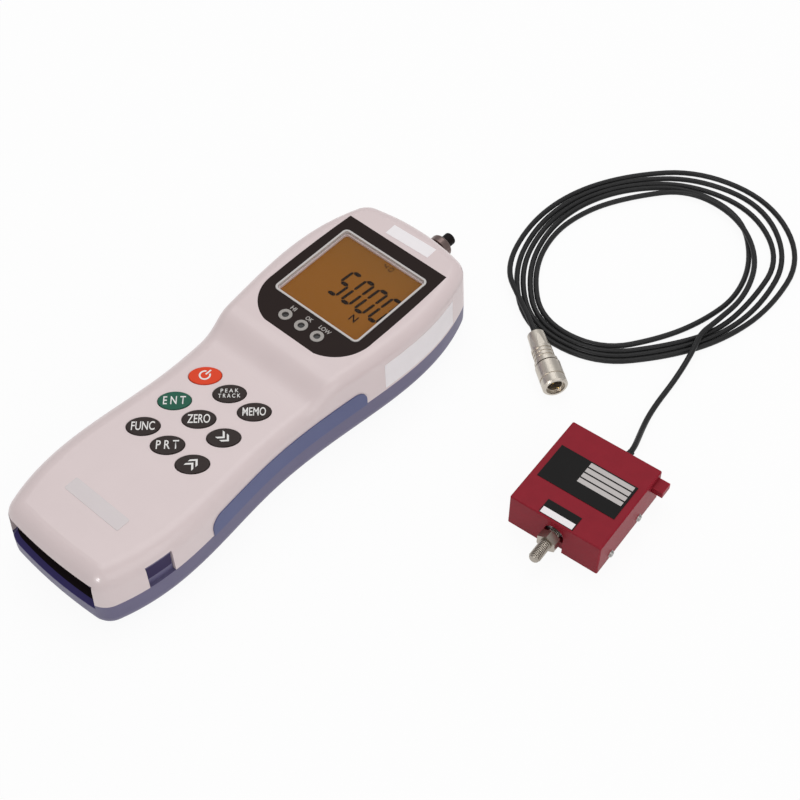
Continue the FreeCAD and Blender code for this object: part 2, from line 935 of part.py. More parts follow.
def battery_cells():
    z = cell_floor() + cell_diameter / 2
    cells = []
    for x, flipped in cell_places():
        near = bay_start_y() + contact_plate_thickness + cell_gap / 2
        far = bay_end_y - contact_plate_thickness - cell_gap / 2
        if flipped:
            tip, base = near, near + cell_length
        else:
            tip, base = far, far - cell_length
        step = terminal_length if flipped else -terminal_length
        can = rod(cell_diameter / 2, (x, tip + step, z), (x, base, z))
        cap = rod(terminal_radius, (x, tip, z), (x, tip + step, z))
        cells.append(can.fuse(cap))
    return Part.makeCompound(cells)


def battery_contacts():
    """A spring for each cell's flat end, and a plate behind each end of the row."""
    z = cell_floor() + cell_diameter / 2
    start = bay_start_y() + contact_plate_thickness
    end = bay_end_y - contact_plate_thickness
    near_parts = [bay_bar(-cell_gap, floor_pad_height, z + cell_diameter / 2).common(
        box(-tail_half_width, tail_half_width, start - contact_plate_thickness, start, 0, head_height))]
    far_parts = [bay_bar(-cell_gap, floor_pad_height, z + cell_diameter / 2).common(
        box(-tail_half_width, tail_half_width, end, end + contact_plate_thickness, 0, head_height))]
    outer = contact_spring_radius
    inner = contact_spring_radius - contact_spring_wire
    for x, flipped in cell_places():
        if flipped:
            far_parts.append(tube(outer, inner, (x, end - contact_spring_length, z), (x, end, z)))
        else:
            near_parts.append(tube(outer, inner, (x, start, z), (x, start + contact_spring_length, z)))
    return Part.makeCompound([join(near_parts), join(far_parts)])


def cover_front_y():
    return bay_end_y + cover_lip


def cover_bar(margin, y0, y1):
    """The cover's section, a plate with a rail along each side, grown by margin."""
    top = cover_inset + cover_thickness
    half = cover_half_width()
    plate = box(-half - margin, half + margin, y0, y1, cover_inset - margin, top + margin)
    rails = box(
        -half - rail_width - margin, half + rail_width + margin, y0, y1,
        top - rail_thickness - margin, top + margin,
    )
    return plate.fuse(rails)


def cover_slot():
    """The way the cover slides in, open at the tail and to the back."""
    half = cover_half_width() + cover_fit
    mouth = box(-half, half, -half_length - 1, cover_front_y(), -1, cover_inset + cover_thickness)
    return cover_bar(cover_fit, -half_length - 1, cover_front_y()).fuse(mouth)


def battery_cover():
    plate = cover_bar(0, -half_length - 1, cover_front_y() - cover_fit).common(rear_form(0))
    grooves = []
    half = thumb_groove_length / 2
    for i in range(thumb_groove_count):
        y = cover_front_y() - thumb_groove_start - thumb_groove_pitch * i
        grooves.append(box(-half, half, y, y + thumb_groove_width, 0, cover_inset + thumb_groove_depth))
    return plate.cut(grooves)


# Fasteners in the housing

def case_screws():
    screws = []
    for x, y in case_screw_places:
        head_low = post_floor_height - screw_head_height
        head = rod(screw_head_radius, (x, y, head_low), (x, y, post_floor_height))
        shank = rod(screw_radius, (x, y, head_low), (x, y, post_floor_height + screw_length))
        drive = hexagon(screw_drive, (x, y, head_low), screw_drive_depth, (0, 0, 1))
        screws += both_sides(head.fuse(shank).cut(drive))
    return Part.makeCompound(screws)


def insert_places():
    half_x = insert_spacing_x / 2
    half_y = insert_spacing_y / 2
    return [(x, insert_centre_y + y) for x in (-half_x, half_x) for y in (-half_y, half_y)]


def mounting_inserts():
    inserts = []
    for x, y in insert_places():
        inserts.append(tube(insert_radius, insert_bore_radius, (x, y, 0), (x, y, insert_length)))
    return Part.makeCompound(inserts)


# Sensor socket

def socket_bar(radius):
    return rod(radius, (0, half_length - 5 * wall, parting_height), (0, half_length + 5, parting_height))


def socket_collar_y():
    return half_length + socket_collar_start


def socket_body():
    z = parting_height
    inside = half_length - wall - side_draft - socket_flange_thickness
    start = socket_collar_y()
    end = start + socket_collar_length
    flange = rod(socket_flange_radius, (0, inside, z), (0, inside + socket_flange_thickness, z))
    barrel_end = half_length + socket_barrel_length
    barrel = rod(socket_radius, (0, inside, z), (0, barrel_end, z))
    neck = rod(socket_neck_radius, (0, barrel_end, z), (0, start, z))
    collar = rod(socket_collar_radius, (0, start, z), (0, end, z))
    collar = collar.makeFillet(socket_collar_fillet, [e for e in collar.Edges if e.BoundBox.YMin > end - 0.01])
    bore = rod(socket_root_radius + socket_fit, (0, end - socket_pin_depth, z), (0, end + 1, z))
    return flange.fuse([barrel, neck, collar]).cut(bore)


def socket_pin():
    """The insulator that stands out of the socket, with a hole for each contact of the plug."""
    z = parting_height
    end = socket_collar_y() + socket_collar_length
    tip = end + socket_pin_length
    pin = rod(socket_pin_radius, (0, end, z), (0, tip, z))
    pin = pin.makeFillet(socket_pin_fillet, [e for e in pin.Edges if e.BoundBox.YMin > tip - 0.01])
    root = rod(socket_root_radius, (0, end - socket_pin_depth, z), (0, end, z))
    holes = []
    for i in range(plug_pin_count):
        angle = 2 * math.pi * i / plug_pin_count
        x = plug_pin_circle * math.cos(angle)
        height = z + plug_pin_circle * math.sin(angle)
        holes.append(rod(plug_pin_radius + socket_fit, (x, end - 1, height), (x, tip + 1, height)))
    return pin.fuse(root).cut(holes)


def socket_nut():
    start = (0, half_length + socket_nut_gap, parting_height)
    nut = hexagon(socket_nut_across_flats, start, socket_nut_thickness, (0, 1, 0))
    return nut.cut(socket_bar(socket_radius + socket_fit))


# Labels

def side_label():
    skin = front_form(-label_thickness, 0).cut(front_form(0, 0))
    return skin.common(box(
        0, head_half_width + 1, side_label_start_y, side_label_end_y, side_label_low, side_label_high
    ))


def top_label():
    label = box(
        -top_label_length / 2, top_label_length / 2, -top_label_width / 2, top_label_width / 2,
        head_height, head_height + label_thickness,
    )
    label.rotate(Vector(0, 0, 0), Vector(0, 0, 1), top_label_turn)
    label.translate(Vector(top_label_x, top_label_y, 0))
    return label


def badge_plate():
    return rounded_plate(
        -badge_length / 2, badge_length / 2, badge_y - badge_width / 2, badge_y + badge_width / 2,
        keypad_height, keypad_height + label_thickness, badge_corner_radius,
    )


# Sensor block, drawn with its front face along X and its depth along Y

def seat(shape):
    """Turns and moves a piece of the sensor block to where the block lies."""
    placed = shape.copy()
    placed.rotate(Vector(0, 0, 0), Vector(0, 0, 1), sensor_turn)
    placed.translate(Vector(sensor_x, sensor_y, 0))
    return placed


def ear_bar(margin):
    half = block_width / 2
    top = block_height - ear_drop
    return box(
        half - 3 * cover_wall - margin, half + ear_reach + margin,
        block_depth - ear_depth - margin, block_depth - cover_wall / 2 + margin,
        top - ear_thickness - margin, top + margin,
    )


def sensor_cover():
    half = block_width / 2
    shell = box(-half, half, 0, block_depth, 0, block_height)
    edges = [edge for edge in shell.Edges if edge.BoundBox.ZMax > block_height - 0.01]
    shell = shell.makeFillet(block_edge, edges)
    inside = box(
        -half + cover_wall, half - cover_wall, cover_wall, block_depth - cover_wall,
        -1, block_height - cover_wall,
    )
    arch = opening_width / 2
    cuts = [
        inside,
        box(-arch, arch, -1, 2 * cover_wall, -1, opening_top - arch),
        rod(arch, (0, -1, opening_top - arch), (0, 2 * cover_wall, opening_top - arch)),
        ear_bar(block_fit),
        rod(
            grommet_radius + block_fit, (lead_exit_x, block_depth - 2 * cover_wall, lead_exit_height),
            (lead_exit_x, block_depth + 1, lead_exit_height),
        ),
    ]
    for y in side_screw_places:
        cuts.append(rod(
            side_screw_radius + block_fit, (-half - 1, y, side_screw_height), (half + 1, y, side_screw_height)
        ))
    return seat(shell.cut(cuts))


def base_half_width():
    return block_width / 2 - cover_wall - block_fit


def rear_block_start():
    return block_depth - cover_wall - block_fit - rear_block_depth


def sensor_base():
    """The floor, the two pads under the beam and the block at the rear with its ear."""
    half = base_half_width()
    back = block_depth - cover_wall - block_fit
    floor = box(-half, half, cover_wall + block_fit, back, 0, base_thickness)
    pad_inner = flexure_centre + flexure_pitch / 2 + flexure_radius + beam_pad_gap
    beam_end = beam_start() + beam_depth
    pads = []
    for sign in (-1, 1):
        x0, x1 = sorted((sign * pad_inner, sign * half))
        pads.append(box(x0, x1, beam_start(), beam_end, base_thickness, base_thickness + beam_lift))
    block_top = block_height - cover_wall - block_fit
    block = box(-half, half, rear_block_start(), back, base_thickness, block_top)
    ear = ear_bar(0).common(box(0, block_width, 0, back, 0, block_height))
    base = floor.fuse(pads + [block, ear])
    cuts = [rod(
        grommet_radius + block_fit, (lead_exit_x, rear_block_start() - 1, lead_exit_height),
        (lead_exit_x, back + 1, lead_exit_height),
    )]
    for y in side_screw_places:
        for sign in (-1, 1):
            outer = block_width / 2
            cuts.append(rod(
                side_screw_radius + stud_fit, (sign * (outer - side_screw_length - block_fit), y, side_screw_height),
                (sign * outer, y, side_screw_height),
            ))
    for x in (-sensor_thread_pitch / 2, sensor_thread_pitch / 2):
        y = back - rear_block_depth / 2
        cuts.append(rod(sensor_thread_radius, (x, y, -1), (x, y, sensor_thread_depth)))
    for x in (-beam_screw_place, beam_screw_place):
        y = beam_start() + beam_depth / 2
        cuts.append(rod(beam_screw_radius + stud_fit, (x, y, -1), (x, y, base_thickness + beam_lift + 1)))
    return seat(base.cut(cuts))


def beam_start():
    return cover_wall + beam_front_gap


def load_beam():
    """Bar fixed at both ends, with a thin-walled double bore on each side of its middle."""
    low = base_thickness + beam_lift
    top = low + beam_height
    y0 = beam_start()
    y1 = y0 + beam_depth
    middle = (y0 + y1) / 2
    bar = box(-beam_length / 2, beam_length / 2, y0, y1, low, top)
    cuts = [rod(stud_shank_radius + stud_fit, (0, y0 - 1, stud_height), (0, y0 + stud_grip, stud_height))]
    for sign in (-1, 1):
        for offset in (-flexure_pitch / 2, flexure_pitch / 2):
            x = sign * flexure_centre + offset
            cuts.append(rod(flexure_radius, (x, middle, low - 1), (x, middle, top + 1)))
        x = sign * beam_screw_place
        cuts.append(rod(beam_screw_radius + screw_clearance, (x, middle, low - 1), (x, middle, top + 1)))
        cuts.append(rod(
            beam_screw_head_radius + block_fit, (x, middle, top - beam_screw_head_height), (x, middle, top + 1)
        ))
    return seat(bar.cut(cuts))


def strain_gauges():
    z = base_thickness + beam_lift + beam_height / 2
    faces = ((beam_start() - gauge_thickness, beam_start()),
             (beam_start() + beam_depth, beam_start() + beam_depth + gauge_thickness))
    foils = []
    for sign in (-1, 1):
        x = sign * flexure_centre
        for y0, y1 in faces:
            foils.append(seat(box(
                x - gauge_length / 2, x + gauge_length / 2, y0, y1, z - gauge_width / 2, z + gauge_width / 2
            )))
    return Part.makeCompound(foils)


def bridge_board():
    y0 = (beam_start() + beam_depth + rear_block_start() - bridge_width) / 2
    return seat(box(
        -bridge_length / 2, bridge_length / 2, y0, y0 + bridge_width,
        base_thickness, base_thickness + bridge_thickness,
    ))


def load_stud():
    end = beam_start() + stud_grip
    stud = rod(stud_radius, (0, -stud_reach, stud_height), (0, -nut_start - nut_thickness, stud_height))
    stud = stud.makeChamfer(stud_chamfer, [e for e in stud.Edges if e.BoundBox.YMax < -stud_reach + 0.01])
    shank = rod(stud_shank_radius, (0, -nut_start - nut_thickness, stud_height), (0, end, stud_height))
    return seat(stud.fuse(shank))


def stud_nut():
    start = (0, -nut_start - nut_thickness, stud_height)
    nut = hexagon(nut_across_flats, start, nut_thickness, (0, 1, 0))
    end = (0, -nut_start + 1, stud_height)
    bore = rod(stud_shank_radius + stud_fit, (0, -nut_start - nut_thickness - 1, stud_height), end)
    return seat(nut.cut(bore))


def cover_screws():
    screws = []
    for y in side_screw_places:
        for sign in (-1, 1):
            face = sign * block_width / 2
            inner = sign * (block_width / 2 - side_screw_length)
            outer = face + sign * side_screw_head
            z = side_screw_height
            shank = rod(side_screw_radius, (inner, y, z), (face, y, z))
            head = cone(side_screw_head_radius, side_screw_face_radius, (face, y, z), (outer, y, z))
            screws.append(seat(shank.fuse(head)))
    return Part.makeCompound(screws)


def beam_screws():
    top = base_thickness + beam_lift + beam_height
    y = beam_start() + beam_depth / 2
    screws = []
    for x in (-beam_screw_place, beam_screw_place):
        shank = rod(beam_screw_radius, (x, y, beam_screw_start), (x, y, top))
        head = rod(beam_screw_head_radius, (x, y, top - beam_screw_head_height), (x, y, top))
        drive = hexagon(screw_drive, (x, y, top - beam_screw_drive_depth), beam_screw_drive_depth, (0, 0, 1))
        screws.append(seat(shank.fuse(head).cut(drive)))
    return Part.makeCompound(screws)


def plate_on_top(length, width, x, y):
    left = x - length / 2
    front = y - width / 2
    top = block_height + plate_thickness
    return seat(box(left, left + length, front, front + width, block_height, top))


def cable_grommet():
    x = lead_exit_x
    z = lead_exit_height
    back = block_depth
    sleeve = rod(grommet_radius, (x, rear_block_start(), z), (x, back, z))
    lip_radius = cable_radius + grommet_lip
    flange = cone(grommet_flange_radius, lip_radius, (x, back, z), (x, back + grommet_flange, z))
    return seat(sleeve.fuse(flange))


# Cable

def route_edges(points):
    """Straight runs joined by tangent arcs, each as large as its two runs allow."""
    points = [Vector(*point) for point in points]
    edges = []
    start = points[0]
    for before, corner, after in zip(points, points[1:], points[2:]):
        inward = (corner - before).normalize()
        outward = (after - corner).normalize()
        shorter = min((corner - before).Length, (after - corner).Length)
        cut_back = run_share * shorter
        turn = inward.getAngle(outward)
        radius = cut_back / math.tan(turn / 2)
        arc_start = corner - inward * cut_back
        arc_end = corner + outward * cut_back
        centre = corner + (outward - inward).normalize() * (radius / math.cos(turn / 2))
        middle = centre + (corner - centre).normalize() * radius
        edges.append(Part.LineSegment(start, arc_start).toShape())
        edges.append(Part.Arc(arc_start, middle, arc_end).toShape())
        print("radius", round(radius, 1), "turn", round(math.degrees(turn), 1))
        start = arc_end
    edges.append(Part.LineSegment(start, points[-1]).toShape())
    return edges


def cable_tube(points):
    path = Part.Wire(route_edges(points))
    start = Vector(*points[0])
    along = (Vector(*points[1]) - start).normalize()
    section = Part.Wire(Part.Circle(start, along, cable_radius).toShape())
    swept = path.makePipeShell([section], True, False)
    expected = math.pi * cable_radius ** 2 * path.Length
    print("cable length", round(path.Length, 1), "volume ratio", round(swept.Volume / expected, 4))
    return swept


def coil_outline(radii, z):
    points = []
    for i, radius in enumerate(radii):
        angle = 2 * math.pi * i / len(radii)
        x = coil_centre_x + radius * math.cos(angle)
        y = coil_centre_y + radius * math.sin(angle)
        points.append(Vector(x, y, z))
    curve = Part.BSplineCurve()
    curve.interpolate(points, True)
    return Part.Face(Part.Wire(curve.toShape()))


def cable_coil():
    """The closed outer shape of the loose coil."""
    outside = coil_outline(coil_outer, 0).extrude(Vector(0, 0, coil_height))
    inside = coil_outline(coil_inner, -1).extrude(Vector(0, 0, coil_height + 2))
    return outside.cut(inside)


# Plug, drawn along X from its rear end

def lay(shape):
    """Turns and moves a piece of the plug to where the plug lies at the cable's end."""
    placed = shape.copy()
    placed.rotate(Vector(0, 0, 0), Vector(0, 0, 1), plug_turn)
    x, y, _ = tail_points[-1]
    placed.translate(Vector(x, y, plug_height))
    return placed


def plug_clamp():
    """The clamping nut round the cable, with flats for a spanner."""
    nut = hexagon(plug_clamp_flats, (0, 0, 0), plug_clamp_length, (1, 0, 0))
    body = cone(plug_clamp_rear_radius, plug_clamp_radius, (0, 0, 0), (plug_clamp_length, 0, 0))
    return lay(nut.common(body))


def plug_body():
    """The shell between the clamp and the coupling ring, with the nose that takes the socket's pin."""
    start = plug_clamp_length
    shoulder_end = plug_length - plug_ring_length - shell_fit
    shoulder = shoulder_end - plug_shoulder_length
    body = rod(plug_body_radius, (start, 0, 0), (shoulder, 0, 0))
    for i in range(plug_groove_count):
        x = start + plug_groove_start + plug_groove_pitch * i
        body = body.cut(tube(
            plug_body_radius + 1, plug_body_radius - plug_groove_depth, (x, 0, 0), (x + plug_groove_width, 0, 0)
        ))
    collar = rod(plug_shoulder_radius, (shoulder, 0, 0), (shoulder_end, 0, 0))
    nose = rod(plug_nose_radius, (shoulder, 0, 0), (plug_length - plug_nose_setback, 0, 0))
    bore = rod(plug_bore_radius, (plug_length - plug_bore_depth, 0, 0), (plug_length, 0, 0))
    return lay(body.fuse([collar, nose]).cut(bore))


def plug_ring():
    """The coupling ring that turns on the plug's nose."""
    start = plug_length - plug_ring_length
    outer = rod(plug_ring_radius, (start, 0, 0), (plug_length, 0, 0))
    ends = [edge for edge in outer.Edges if edge.BoundBox.XLength < plug_ring_radius]
    outer = outer.makeChamfer(plug_ring_chamfer, ends)
    bore = rod(plug_nose_radius + plug_ring_fit, (start - 1, 0, 0), (plug_length + 1, 0, 0))
    groove_x = start + plug_ring_groove_x
    groove = tube(
        plug_ring_radius + 1, plug_ring_radius - plug_groove_depth,
        (groove_x, 0, 0), (groove_x + plug_groove_width, 0, 0),
    )
    return lay(outer.cut([bore, groove]))


def plug_insert():
    """The insulator at the bottom of the nose's bore, which holds the contact pins."""
    start = plug_length - plug_bore_depth
    insert = rod(plug_bore_radius - plug_insert_fit, (start, 0, 0), (start + plug_insert_thickness, 0, 0))
    holes = [pin_rod(start - 1, plug_length, i, plug_insert_fit) for i in range(plug_pin_count)]
    return lay(insert.cut(holes))


def pin_rod(x0, x1, index, margin):
    angle = 2 * math.pi * index / plug_pin_count
    y = plug_pin_circle * math.cos(angle)
    z = plug_pin_circle * math.sin(angle)
    return rod(plug_pin_radius + margin, (x0, y, z), (x1, y, z))


def plug_pins():
    start = plug_length - plug_bore_depth + plug_insert_fit
    end = start + plug_insert_thickness + plug_pin_length
    return Part.makeCompound([lay(pin_rod(start, end, i, 0)) for i in range(plug_pin_count)])


document = FreeCAD.newDocument("gauge")

save("front_case", front_case())
save("rear_case", rear_case())
for name, grip in zip(("side_grip_right", "side_grip_left"), both_sides(side_grip())):
    save(name, grip)
save("end_panel", end_panel())
save("display_bezel", display_bezel())
save("window_frame", window_frame())
save("display_window", display_window())
save("lcd_panel", lcd_panel())
save("backlight", backlight())
save("lcd_holder", lcd_holder())
save("indicator_rings", indicator_rings())
save("indicator_lenses", indicator_lenses())
for name, x, y in key_places():
    save(name, key_cap(x, y))
save("keypad_mat", keypad_mat())
save("dome_switches", dome_switches())
save("main_board", main_board())
save("board_screws", board_screws())
save("board_components", board_components())
save("buzzer", buzzer())
save("battery_holder", battery_holder())
save("battery_cells", battery_cells())
save("battery_contacts", battery_contacts())
save("battery_cover", battery_cover())
save("case_screws", case_screws())
save("mounting_inserts", mounting_inserts())
save("socket_body", socket_body())
save("socket_pin", socket_pin())
save("socket_nut", socket_nut())
save("side_label", side_label())
save("top_label", top_label())
save("badge_plate", badge_plate())
save("sensor_cover", sensor_cover())
save("sensor_base", sensor_base())
save("load_beam", load_beam())
save("strain_gauges", strain_gauges())
save("bridge_board", bridge_board())
save("load_stud", load_stud())
save("stud_nut", stud_nut())
save("cover_screws", cover_screws())
save("beam_screws", beam_screws())
save("name_plate", plate_on_top(plate_length, plate_width, plate_centre_x, plate_centre_y))
save("range_label", plate_on_top(range_label_length, range_label_width, range_label_x, range_label_y))
save("cable_grommet", cable_grommet())
save("cable_lead", cable_tube(lead_points))
save("cable_coil", cable_coil())
save("cable_tail", cable_tube(tail_points))
save("plug_clamp", plug_clamp())
save("plug_body", plug_body())
save("plug_ring", plug_ring())
save("plug_insert", plug_insert())
save("plug_pins", plug_pins())
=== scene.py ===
# Hand-held force gauge and its separate load cell, dressed for a studio picture
import math

import bmesh
import bpy
from mathutils import Matrix, Vector
from mathutils.bvhtree import BVHTree


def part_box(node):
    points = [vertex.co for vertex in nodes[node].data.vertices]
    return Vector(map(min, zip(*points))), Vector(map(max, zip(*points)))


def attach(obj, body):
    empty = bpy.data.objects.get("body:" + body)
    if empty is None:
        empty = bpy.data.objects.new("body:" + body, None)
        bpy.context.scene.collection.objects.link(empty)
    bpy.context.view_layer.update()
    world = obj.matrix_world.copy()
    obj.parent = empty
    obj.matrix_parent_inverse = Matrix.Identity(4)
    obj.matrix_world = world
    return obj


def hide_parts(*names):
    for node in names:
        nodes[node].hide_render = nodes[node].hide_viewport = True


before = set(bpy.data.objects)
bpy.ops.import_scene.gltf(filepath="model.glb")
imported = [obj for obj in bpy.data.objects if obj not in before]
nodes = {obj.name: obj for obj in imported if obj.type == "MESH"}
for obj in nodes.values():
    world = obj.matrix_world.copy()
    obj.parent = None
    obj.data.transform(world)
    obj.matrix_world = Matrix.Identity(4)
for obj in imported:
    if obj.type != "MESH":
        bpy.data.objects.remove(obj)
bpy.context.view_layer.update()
mm = 0.001


def tint(rgb, alpha=1.0):
    def linear(value):
        share = value / 255
        return share / 12.92 if share <= 0.04045 else ((share + 0.055) / 1.055) ** 2.4
    return (*[linear(value) for value in rgb], alpha)


def shade(rgb, factor):
    return tint([min(255, value * factor) for value in rgb])


def put(tree, kind, settings=None, plugs=None):  # one node, its settings, and what feeds its sockets
    node = tree.nodes.new(kind)
    for key, value in (settings or {}).items():
        setattr(node, key, value)
    for key, value in (plugs or {}).items():
        if isinstance(value, bpy.types.NodeSocket):
            tree.links.new(value, node.inputs[key])
        else:
            node.inputs[key].default_value = value
    return node


# Camera at the picture's viewing angle, for a frame of 800 by 800
cameraView = {"place": (0.3132, -0.2616, 0.5352), "height": 52.0017, "turn": 41.4753,
              "lens": 72.0, "sensor": 36.0, "near": 0.01, "far": 20}


def placeCamera(view):
    height, turn = math.radians(view["height"]), math.radians(view["turn"])
    right = Vector((math.cos(turn), math.sin(turn), 0))
    back = Vector((math.sin(turn) * math.cos(height), -math.cos(turn) * math.cos(height), math.sin(height)))
    up = back.cross(right)
    data = bpy.data.cameras.new("studioCamera")
    data.lens, data.sensor_width = view["lens"], view["sensor"]
    data.clip_start, data.clip_end = view["near"], view["far"]
    camera = bpy.data.objects.new("studioCamera", data)
    camera.matrix_world = Matrix.Translation(view["place"]) @ Matrix((right, up, back)).transposed().to_4x4()
    bpy.context.scene.collection.objects.link(camera)
    bpy.context.scene.camera = camera


placeCamera(cameraView)
print("camera placed")


# Shader groups that several finishes share
def newGroup(name, inputs, outputs):
    group = bpy.data.node_groups.new(name, "ShaderNodeTree")
    for label, kind, value in inputs:
        socket = group.interface.new_socket(label, in_out="INPUT", socket_type="NodeSocket" + kind)
        if value is not None:
            socket.default_value = value
    for label in outputs:
        group.interface.new_socket(label, in_out="OUTPUT", socket_type="NodeSocketFloat")
    return group, group.nodes.new("NodeGroupInput").outputs, group.nodes.new("NodeGroupOutput").inputs


def makeSurfaceGrain():  # moulded or sprayed grain, broad tone and hand-worn gloss
    inputs = [("place", "Vector", None), ("grainScale", "Float", 2500.0), ("mottleScale", "Float", 60.0)]
    group, given, result = newGroup("surfaceGrain", inputs, ["height", "tone", "gloss"])
    fine = put(group, "ShaderNodeTexNoise", None,
               {"Vector": given["place"], "Scale": given["grainScale"], "Detail": 3.0})
    pits = put(group, "ShaderNodeTexVoronoi", None, {"Vector": given["place"], "Scale": given["grainScale"]})
    pitShare = 0.6
    both = put(group, "ShaderNodeMath", {"operation": "MULTIPLY_ADD"},
               {0: pits.outputs["Distance"], 1: pitShare, 2: fine.outputs[0]})
    broad = put(group, "ShaderNodeTexNoise", None,
                {"Vector": given["place"], "Scale": given["mottleScale"], "Detail": 2.0})
    smear = put(group, "ShaderNodeTexNoise", None,
                {"Vector": given["place"], "Scale": 45.0, "Detail": 5.0, "Distortion": 0.8})
    group.links.new(both.outputs[0], result["height"])
    group.links.new(broad.outputs[0], result["tone"])
    group.links.new(smear.outputs[0], result["gloss"])
    return group


def makeEdgeRub():  # where an outer edge has been handled
    inputs = [("place", "Vector", None), ("width", "Float", 0.0006)]
    group, given, result = newGroup("edgeRub", inputs, ["mask"])
    flat, sharp = 0.995, 0.85  # how far the rounded normal turns from the face's own
    soft = put(group, "ShaderNodeBevel", {"samples": 4}, {"Radius": given["width"]})
    own = put(group, "ShaderNodeNewGeometry")
    bend = put(group, "ShaderNodeVectorMath", {"operation": "DOT_PRODUCT"},
               {0: soft.outputs[0], 1: own.outputs["Normal"]})
    edge = put(group, "ShaderNodeMapRange", None,
               {"Value": bend.outputs["Value"], "From Min": flat, "From Max": sharp})
    patch = put(group, "ShaderNodeTexNoise", None, {"Vector": given["place"], "Scale": 130.0, "Detail": 4.0})
    uneven = put(group, "ShaderNodeMapRange", None,
                 {"Value": patch.outputs[0], "From Min": 0.35, "From Max": 0.65})
    rub = put(group, "ShaderNodeMath", {"operation": "MULTIPLY"}, {0: edge.outputs[0], 1: uneven.outputs[0]})
    group.links.new(rub.outputs[0], result["mask"])
    return group


def makeDustFilm():  # fine dust on faces that look up
    group, given, result = newGroup("dustFilm", [("place", "Vector", None)], ["mask"])
    own = put(group, "ShaderNodeNewGeometry")
    split = put(group, "ShaderNodeSeparateXYZ", None, {0: own.outputs["Normal"]})
    level = put(group, "ShaderNodeMapRange", None,
                {"Value": split.outputs["Z"], "From Min": 0.55, "From Max": 1.0})
    flock = put(group, "ShaderNodeTexNoise", None, {"Vector": given["place"], "Scale": 700.0, "Detail": 6.0})
    patch = put(group, "ShaderNodeMapRange", None,
                {"Value": flock.outputs[0], "From Min": 0.45, "From Max": 0.75})
    dust = put(group, "ShaderNodeMath", {"operation": "MULTIPLY"}, {0: level.outputs[0], 1: patch.outputs[0]})
    group.links.new(dust.outputs[0], result["mask"])
    return group


def makeToolLines():  # turned, drawn or brushed lines, close together along the place's first axis
    inputs = [("place", "Vector", None), ("lineScale", "Float", 6000.0)]
    group, given, result = newGroup("toolLines", inputs, ["height", "tone"])
    lines = put(group, "ShaderNodeTexNoise", None,
                {"Vector": given["place"], "Scale": given["lineScale"], "Detail": 2.0})
    wide = put(group, "ShaderNodeTexNoise", None, {"Vector": given["place"], "Scale": 900.0, "Detail": 3.0})
    group.links.new(lines.outputs[0], result["height"])
    group.links.new(wide.outputs[0], result["tone"])
    return group


surfaceGrain, edgeRub = makeSurfaceGrain(), makeEdgeRub()
dustFilm, toolLines = makeDustFilm(), makeToolLines()


def blend(tree, share, first, second):
    return put(tree, "ShaderNodeMix", {"data_type": "RGBA"}, {0: share, 6: first, 7: second}).outputs[2]


def scaled(tree, value, low, high):
    return put(tree, "ShaderNodeMapRange", None, {"Value": value, "To Min": low, "To Max": high}).outputs[0]


finishDefaults = {
    "rough": 0.45, "spread": 0.06, "metal": 0.0, "specular": 0.5, "coat": 0.0, "coatRough": 0.1,
    "grain": 2600.0, "mottle": 60.0, "bump": 0.25, "depth": 0.00003, "vary": 0.04,
    "rub": 0.25, "rubWidth": 0.0006, "rubTone": 1.25, "dust": 0.05, "dustTone": (205, 200, 192),
    "lines": None, "lineTurn": (0.0, 0.0, 0.0), "lineDraw": 40}
acrossZ = (0, math.radians(90), 0)  # turns the tool lines round an upright piece


def makeFinish(name, rgb, **changes):
    look = {**finishDefaults, **changes}
    material = bpy.data.materials.new(name)
    material.use_nodes = True
    tree = material.node_tree
    shader = tree.nodes["Principled BSDF"]
    place = put(tree, "ShaderNodeTexCoord").outputs["Object"]
    grain = put(tree, "ShaderNodeGroup", {"node_tree": surfaceGrain},
                {"place": place, "grainScale": look["grain"], "mottleScale": look["mottle"]})
    colour = blend(tree, grain.outputs["tone"], shade(rgb, 1 - look["vary"]), shade(rgb, 1 + look["vary"]))
    height = grain.outputs["height"]
    if look["lines"]:
        along = put(tree, "ShaderNodeMapping", {"vector_type": "TEXTURE"},
                    {"Vector": place, "Rotation": look["lineTurn"],
                     "Scale": (1, look["lineDraw"], look["lineDraw"])})
        cut = put(tree, "ShaderNodeGroup", {"node_tree": toolLines},
                  {"place": along.outputs[0], "lineScale": look["lines"]})
        colour = blend(tree, cut.outputs["tone"], colour, shade(rgb, 1 + 2 * look["vary"]))
        height = cut.outputs["height"]
    if look["rub"]:
        rub = put(tree, "ShaderNodeGroup", {"node_tree": edgeRub},
                  {"place": place, "width": look["rubWidth"]})
        share = scaled(tree, rub.outputs["mask"], 0.0, look["rub"])
        colour = blend(tree, share, colour, shade(rgb, look["rubTone"]))
    if look["dust"]:
        dust = put(tree, "ShaderNodeGroup", {"node_tree": dustFilm}, {"place": place})
        colour = blend(tree, scaled(tree, dust.outputs["mask"], 0.0, look["dust"]), colour,
                       tint(look["dustTone"]))
    tree.links.new(colour, shader.inputs["Base Color"])
    rough, spread = look["rough"], look["spread"]
    rough = scaled(tree, grain.outputs["gloss"], rough - spread, rough + spread)
    tree.links.new(rough, shader.inputs["Roughness"])
    bump = put(tree, "ShaderNodeBump", None,
               {"Strength": look["bump"], "Distance": look["depth"], "Height": height})
    tree.links.new(bump.outputs[0], shader.inputs["Normal"])
    shader.inputs["Metallic"].default_value = look["metal"]
    shader.inputs["Specular IOR Level"].default_value = look["specular"]
    shader.inputs["Coat Weight"].default_value = look["coat"]
    shader.inputs["Coat Roughness"].default_value = look["coatRough"]
    return material


